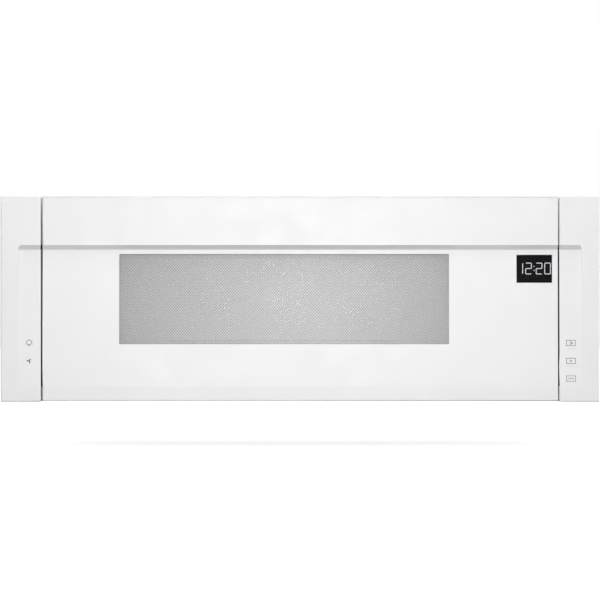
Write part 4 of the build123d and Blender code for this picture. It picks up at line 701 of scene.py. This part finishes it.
# ---- door ----
# The door's skin is moulded in satin white plastic with a faint texture. It has the sloping
# recess, the ledge that the fingers pull under, and the openings for the window and the display.
white_moulding = finish("satin_white_moulding", (0.86, 0.86, 0.86), 0.34)
tint(white_moulding, pattern(white_moulding, "Noise", 5, Detail=4),
     (0.845, 0.845, 0.848), (0.865, 0.865, 0.865))
gloss(white_moulding, pattern(white_moulding, "Noise", 40, Detail=6), 0.3, 0.4)
relief(white_moulding, pattern(white_moulding, "Noise", 1500, Detail=1), 0.04, 0.0001)
coat(white_moulding, "choke_cover")
recess_foot, recess_top = 0.020, 0.1933     # heights of the slope's start and of the ledge
recess_sink = 0.009                         # depth under the ledge
recess_lean = recess_sink / (recess_top - recess_foot)
root_y, root_z = 0.002828, 0.19011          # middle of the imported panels' fillet under the ledge
root_radius, root_share = 0.006, 0.2
root_low, root_high = 0.18975, 0.19525      # heights between which the fillet lies


def moulding(name, wall):
    """A copy of a moulded front panel, with a tighter root where its ledge meets the recess. The
    fillet is shrunk about its corner, on the face and inside the wall alike."""
    mesh = bmesh.new()
    mesh.from_mesh(nodes[name].data)
    bmesh.ops.remove_doubles(mesh, verts=mesh.verts, dist=1e-6)
    for face in (y_front, y_front + wall):
        fillet = [v for v in mesh.verts if v.co.y > face + root_radius
                  and root_low < v.co.z < root_high and abs(root_radius - math.hypot(
                      v.co.y - face - root_y, v.co.z - root_z)) < 3e-5]
        bmesh.ops.scale(mesh, verts=fillet, vec=(1, root_share, root_share),
                        space=Matrix.Translation((0, -face - recess_sink, -recess_top)))
    return mesh


door_wall, end_wall = 0.0025, 0.002
door_edge = 0.3239          # where the door's free edge begins to round
door_shift = 0.0007         # how much further out the free edge lies than in the CAD
door_skin = moulding("door_outer_panel", door_wall)
for v in door_skin.verts:
    if v.co.x > door_edge:
        v.co.x += door_shift
piece("door_skin", door_skin, white_moulding, "door", "white_moulding", "door_outer_panel")

# The end panels are moulded in the same plastic. Their edges in the recess stand back a little
# from the door, so that the slits are wider there.
end_side = 0.3285           # their inner sides, left and right of the middle
edge_depth, edge_foot, edge_top = 0.0105, 0.0201, 0.1989
for side, name, shift in ((-1, "left_end", 0.0008), (1, "right_end", 0.0007)):
    end_skin = moulding(f"{name}_panel", end_wall)
    for v in end_skin.verts:
        if (abs(side * v.co.x - end_side) < 1e-5 and v.co.y < y_front + edge_depth
                and edge_foot < v.co.z < edge_top):
            v.co.x += side * shift
    piece(f"{name}_skin", end_skin, white_moulding, "cabinet", "white_moulding", f"{name}_panel")

# Painted shade lines the slit at the door's free edge: a black strip, half on the door and half on
# the end panel, darkens the slit where shade falls. Each half is a thin strip that starts just
# behind the recess's slope.
edge_shade = finish("black_edge_painted_shade", (0.012, 0.012, 0.012), 0.8)
tint(edge_shade, pattern(edge_shade, "Noise", 700), (0.008, 0.008, 0.008), (0.016, 0.016, 0.016))
gloss(edge_shade, pattern(edge_shade, "Noise", 300), 0.7, 0.95)
relief(edge_shade, pattern(edge_shade, "Noise", 1500), 0.2, 0.0001)
edge_shade_foot, edge_shade_top = 0.0206, 0.1920
edge_shade_setback = 0.0002
foot_y = y_front + edge_shade_setback + recess_lean * (edge_shade_foot - recess_foot)
top_y = y_front + edge_shade_setback + recess_lean * (edge_shade_top - recess_foot)
# Each half's black is painted shade in the slit.
for name, body, start, thickness, edge_shade_depth in (
        ("door_edge_painted_shade", "door", 0.3272, 0.0003, 0.006),
        ("panel_edge_painted_shade", "cabinet", 0.3292, -0.0009, 0.018)):
    strip = bmesh.new()
    flat = strip.faces.new([strip.verts.new((start, y, z)) for y, z in (
        (foot_y, edge_shade_foot), (foot_y + edge_shade_depth, edge_shade_foot),
        (top_y + edge_shade_depth, edge_shade_top), (top_y, edge_shade_top))])
    raised = bmesh.ops.extrude_face_region(strip, geom=[flat])["geom"]
    bmesh.ops.translate(strip, verts=verts_of(raised), vec=(thickness, 0, 0))
    piece(name, strip, edge_shade, body, "black_plastic")

# Behind the window the choke frame's opening is filled by a white-coated steel screen, pierced
# with staggered round holes, small enough to keep the waves in. A plain border is welded round it.
screen_low, screen_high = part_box("door_screen")
screen_paint = finish("white_screen_coat", (0.68, 0.68, 0.68), 0.4)
tint(screen_paint, pattern(screen_paint, "Noise", 12, Detail=5), (0.67, 0.67, 0.67),
     (0.69, 0.69, 0.69))
gloss(screen_paint, pattern(screen_paint, "Noise", 90), 0.34, 0.5)
relief(screen_paint, pattern(screen_paint, "Noise", 800), 0.08, 0.0001)
hole_pitch, hole_rise = 0.00344, 0.0038     # across and up, to the next like hole
hole_columns, hole_rows = 61, 31            # in each half of the screen
hole_radius, sheet_thickness = 0.00097, 0.0008
sheet_inset = 0.0001                        # of the sheet's back from the border's
screen_seam, screen_foot = -0.0200, 0.0723  # where the halves meet, and where they start
for name, start in (("screen_left", screen_seam - hole_pitch * hole_columns),
                    ("screen_right", screen_seam)):
    sheet = pierced(hole_pitch, hole_rise, hole_columns, hole_rows, hole_radius, sheet_thickness)
    turned(sheet, sheet.verts, 90, "X")
    back = max(v.co.y for v in sheet.verts)
    bmesh.ops.translate(sheet, verts=sheet.verts, vec=(
        start, screen_high.y - sheet_inset - back, screen_foot))
    piece(name, sheet, screen_paint, "door", "screen_steel")

border_width = 0.0075
screen_middle = (screen_low + screen_high) / 2
border = bmesh.new()
bmesh.ops.create_grid(border, x_segments=1, y_segments=1, size=0.5)
turned(border, border.verts, 90, "X")
bmesh.ops.scale(border, verts=border.verts, vec=(
    screen_high.x - screen_low.x, 1, screen_high.z - screen_low.z))
bmesh.ops.translate(border, verts=border.verts, vec=(
    screen_middle.x, screen_low.y, screen_middle.z))
bmesh.ops.inset_region(border, faces=border.faces[:], thickness=border_width, depth=0,
                       use_boundary=True)
bmesh.ops.delete(border, context="FACES_ONLY", geom=[f for f in border.faces if (
    f.calc_center_median() - Vector((screen_middle.x, screen_low.y, screen_middle.z))).length
    < border_width])
raised = bmesh.ops.extrude_face_region(border, geom=border.faces[:])["geom"]
bmesh.ops.translate(border, verts=verts_of(raised), vec=(0, screen_high.y - screen_low.y, 0))
piece("screen_border", border, screen_paint, "door", "screen_steel", "door_screen")

# A grey strip along the screen's upper edge behind the pane is painted shadow, in place of the
# shadow that the window opening's top edge casts on the screen.
screen_shadow = finish("grey_painted_shadow", (0.5, 0.5, 0.5), 0.9)
screen_shadow_cells = pattern(screen_shadow, "Voronoi", 900, "Distance")
tint(screen_shadow, screen_shadow_cells, (0.44, 0.44, 0.44), (0.54, 0.54, 0.54), 0.1, 0.7)
gloss(screen_shadow, screen_shadow_cells, 0.8, 1.0)
relief(screen_shadow, screen_shadow_cells, 0.4, 0.0003)
window_low, window_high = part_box("window_glass")
screen_shadow_size = (window_high.x - window_low.x - 0.012, 0.001, 0.0075)
screen_shadow_gap, screen_shadow_z = 0.0001, 0.1858
screen_shadow_middle = ((window_low.x + window_high.x) / 2, screen_low.y - screen_shadow_gap - screen_shadow_size[1] / 2,
               screen_shadow_z)
# The strip's grey is painted shadow under the window opening's top edge.
strip = block(screen_shadow_size, screen_shadow_middle, 0.0003, 2)
piece("screen_shadow_strip", strip, screen_shadow, "door", "grey_plastic", smooth=40)

# The window is a clear pane bonded behind the skin. Its pale grey share is partly painted
# reflection:
# a veil in place of the room's reflection, over the pane's real gloss. The pane on the oven side is
# plain clear glass.
window_glass = finish("window_glass_painted_veil", (0.6, 0.61, 0.61), 0.22, Alpha=0.2, IOR=1.52)
gloss(window_glass, pattern(window_glass, "Noise", 20, Detail=5), 0.18, 0.2)
relief(window_glass, pattern(window_glass, "Noise", 6), 0.01, 0.0002)
coat(window_glass, "window_glass")
clear_pane = finish("clear_inner_pane", (0.7, 0.75, 0.73), 0.05, Alpha=0.18)
gloss(clear_pane, pattern(clear_pane, "Noise", 25, Detail=6), 0.03, 0.12)
relief(clear_pane, pattern(clear_pane, "Noise", 8), 0.03, 0.0004)
coat(clear_pane, "inner_window")


# ---- display ----
# A dark smoked lens is set flush in the door. Behind it, the clock block shows the time in lit
# bars of a pale bluish white.
lens_smoke = finish("smoked_lens", (0.004, 0.004, 0.005), 0.2, Alpha=0.6,
                    Specular_IOR_Level=0.05)
gloss(lens_smoke, pattern(lens_smoke, "Noise", 80, Detail=4), 0.16, 0.26)
coat(lens_smoke, "display_lens")
clock_black = finish("clock_block", (0.008, 0.008, 0.009), 0.6)
tint(clock_black, pattern(clock_black, "Noise", 300), (0.006, 0.006, 0.007), (0.012, 0.012, 0.013))
gloss(clock_black, pattern(clock_black, "Noise", 500), 0.5, 0.7)
coat(clock_black, "display_module")

lit = finish("lit_bars", (0.3, 0.3, 0.34), 0.5, Emission_Color=(0.78, 0.79, 0.86, 1),
             Emission_Strength=5.5)
gloss(lit, pattern(lit, "Noise", 900), 0.4, 0.6)
y_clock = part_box("display_module")[0].y
digit_height, digit_width, bar_width = 0.0138, 0.0073, 0.00095
digit_base, bar_rise = 0.1624, 0.00015
bars_of = {"1": "bc", "2": "abged", "0": "abcdef"}
bar_places = {              # shares of the width and the height, and whether the bar stands
    "a": (0.5, 1, False), "b": (1, 0.75, True), "c": (1, 0.25, True), "d": (0.5, 0, False),
    "e": (0, 0.25, True), "f": (0, 0.75, True), "g": (0.5, 0.5, False)}
digits = bmesh.new()


def lozenge(mesh, x, z, length, upright):
    """One lit bar: a flat six-sided lozenge, standing or lying."""
    bar = bmesh.ops.create_circle(mesh, cap_ends=True, segments=6, radius=bar_width * 0.6)["verts"]
    for v in bar:
        v.co.y += math.copysign(length / 2 - bar_width * 0.75, v.co.y)
    for axis in "X" if upright else "ZX":
        turned(mesh, bar, 90, axis)
    bmesh.ops.translate(mesh, verts=bar, vec=(x, y_clock, z))


for digit, left in (("1", 0.2756), ("2", 0.2867), ("2", 0.3001), ("0", 0.3109)):
    for bar in bars_of[digit]:
        across, up, upright = bar_places[bar]
        lozenge(digits, left + across * digit_width, digit_base + up * digit_height,
                digit_height / 2 if upright else digit_width, upright)
colon_x = 0.2974
for up in (0.32, 0.69):
    lozenge(digits, colon_x, digit_base + up * digit_height, bar_width * 1.9, True)
fronts = bmesh.ops.extrude_face_region(digits, geom=digits.faces[:])["geom"]
bmesh.ops.translate(digits, verts=verts_of(fronts), vec=(0, -bar_rise, 0))
piece("lit_digits", digits, lit, "door", "black_lens")


# ---- end panels ----
# The touch keys are only thin grey marks, printed on the recessed part of each end panel: a lamp
# and a fan on the left, three framed keys on the right.
ink = finish("grey_key_ink", (0.12, 0.12, 0.12), 0.5)
tint(ink, pattern(ink, "Noise", 1500), (0.1, 0.1, 0.1), (0.15, 0.15, 0.15))
gloss(ink, pattern(ink, "Noise", 2000), 0.4, 0.6)
ink_line, ink_rise = 0.00055, 0.00012
ink_gap = 0.00005           # between a mark and the moulding


def stroke(mesh, x0, z0, x1, z1, width=ink_line):
    """A straight printed line between two points of the front view."""
    line = bmesh.ops.create_grid(mesh, x_segments=1, y_segments=1, size=0.5)["verts"]
    run = Vector((x1 - x0, z1 - z0))
    bmesh.ops.scale(mesh, verts=line, vec=(run.length + width, width, 1))
    turned(mesh, line, math.degrees(math.atan2(run.y, run.x)), "Z")
    bmesh.ops.translate(mesh, verts=line, vec=((x0 + x1) / 2, (z0 + z1) / 2, 0))


def hoop_line(mesh, x, z, radius, width=ink_line):
    """A printed circle of the front view."""
    disc = bmesh.ops.create_circle(mesh, cap_ends=True, segments=32,
                                   radius=radius + width / 2)["verts"]
    bmesh.ops.translate(mesh, verts=disc, vec=(x, z, 0))
    inner = disc[0].link_faces[:]
    bmesh.ops.inset_region(mesh, faces=inner, thickness=width, depth=0, use_boundary=True)
    bmesh.ops.delete(mesh, geom=inner, context="FACES_ONLY")


def print_marks(name, mesh):
    """Lays flat marks on the recess's slope, a hair proud of the moulding."""
    bmesh.ops.recalc_face_normals(mesh, faces=mesh.faces)
    fronts = bmesh.ops.extrude_face_region(mesh, geom=mesh.faces[:])["geom"]
    bmesh.ops.translate(mesh, verts=verts_of(fronts), vec=(0, 0, ink_rise))
    lay = Matrix(((1, 0, 0, 0), (0, recess_lean, -1, y_front - recess_lean * recess_foot + ink_gap),
                  (0, 1, 0, 0), (0, 0, 0, 1)))
    bmesh.ops.transform(mesh, matrix=lay, verts=mesh.verts)
    return piece(name, mesh, ink, "cabinet", "grey_plastic")


# The lamp key: a small bulb with its foot and three rays on each side.
key_left, bulb_z, rays_z, foot_z = -0.3434, 0.0755, 0.0754, 0.0718
lamp_marks = bmesh.new()
hoop_line(lamp_marks, key_left, bulb_z, 0.0031, 0.0007)
stroke(lamp_marks, key_left - 0.0006, foot_z, key_left + 0.0006, foot_z, 0.0009)
for angle in (-35, 0, 35, 145, 180, 215):
    away = Vector((math.cos(math.radians(angle)), math.sin(math.radians(angle))))
    start, end = away * 0.0044, away * 0.0054
    stroke(lamp_marks, key_left + start.x, rays_z + start.y, key_left + end.x, rays_z + end.y,
           0.0003)
print_marks("lamp_key_marks", lamp_marks)

# The fan key: three blades inside a ring of six dots.
fan_z = 0.0521
fan_marks = bmesh.new()
for turn in (42, 162, 282):
    blade = bmesh.ops.create_circle(fan_marks, cap_ends=True, segments=12, radius=0.00135)["verts"]
    bmesh.ops.scale(fan_marks, verts=blade, vec=(1.35, 0.62, 1))
    bmesh.ops.translate(fan_marks, verts=blade, vec=(0.0016, 0.0003, 0))
    turned(fan_marks, blade, turn, "Z")
    bmesh.ops.translate(fan_marks, verts=blade, vec=(key_left, fan_z, 0))
for turn in range(30, 390, 60):
    away = Vector((math.cos(math.radians(turn)), math.sin(math.radians(turn)))) * 0.0052
    stroke(fan_marks, key_left + away.x - 0.0002, fan_z + away.y, key_left + away.x + 0.0002,
           fan_z + away.y, 0.00025)
print_marks("fan_key_marks", fan_marks)

# The three keys on the right, each a frame round its sign: a bar and a triangle, a dot, a row of
# four dots.
key_right, key_half, key_rise = 0.3437, 0.0057, 0.0034
upper_key, middle_key, lower_key = 0.0748, 0.0520, 0.0297
frame_line = 0.0006
key_marks = bmesh.new()
for z in (upper_key, middle_key, lower_key):
    for side in (-1, 1):
        stroke(key_marks, key_right + side * key_half, z - key_rise,
               key_right + side * key_half, z + key_rise, frame_line)
        stroke(key_marks, key_right - key_half, z + side * key_rise,
               key_right + key_half, z + side * key_rise, frame_line)
stroke(key_marks, key_right - 0.0008, upper_key + 0.0026, key_right - 0.0008, upper_key - 0.0026)
triangle = ((0.0007, 0.0014), (0.0007, -0.0014), (0.0029, 0))
for index in (0, 1, 2):
    (x0, z0), (x1, z1) = triangle[index - 1], triangle[index]
    stroke(key_marks, key_right + x0, upper_key + z0, key_right + x1, upper_key + z1)
hoop_line(key_marks, key_right, middle_key, 0.0006, 0.0009)
for shift in (-0.003, -0.001, 0.001, 0.003):
    stroke(key_marks, key_right + shift, lower_key, key_right + shift, lower_key, 0.0012)
print_marks("right_key_marks", key_marks)

# Paler dashes under the upper and the middle key.
faint_ink = finish("faint_key_ink", (0.6, 0.6, 0.6), 0.5)
tint(faint_ink, pattern(faint_ink, "Noise", 1500), (0.56, 0.56, 0.56), (0.64, 0.64, 0.64))
gloss(faint_ink, pattern(faint_ink, "Noise", 2000), 0.4, 0.6)
faint_marks = bmesh.new()
for shift in (-0.0022, 0.0004, 0.0030, 0.0052):
    stroke(faint_marks, key_right + shift - 0.0006, 0.0675, key_right + shift + 0.0006, 0.0675,
           0.0006)
stroke(faint_marks, key_right - 0.0062, 0.0448, key_right + 0.0105, 0.0445, 0.0004)
print_marks("faint_key_marks", faint_marks).material_slots[0].material = faint_ink
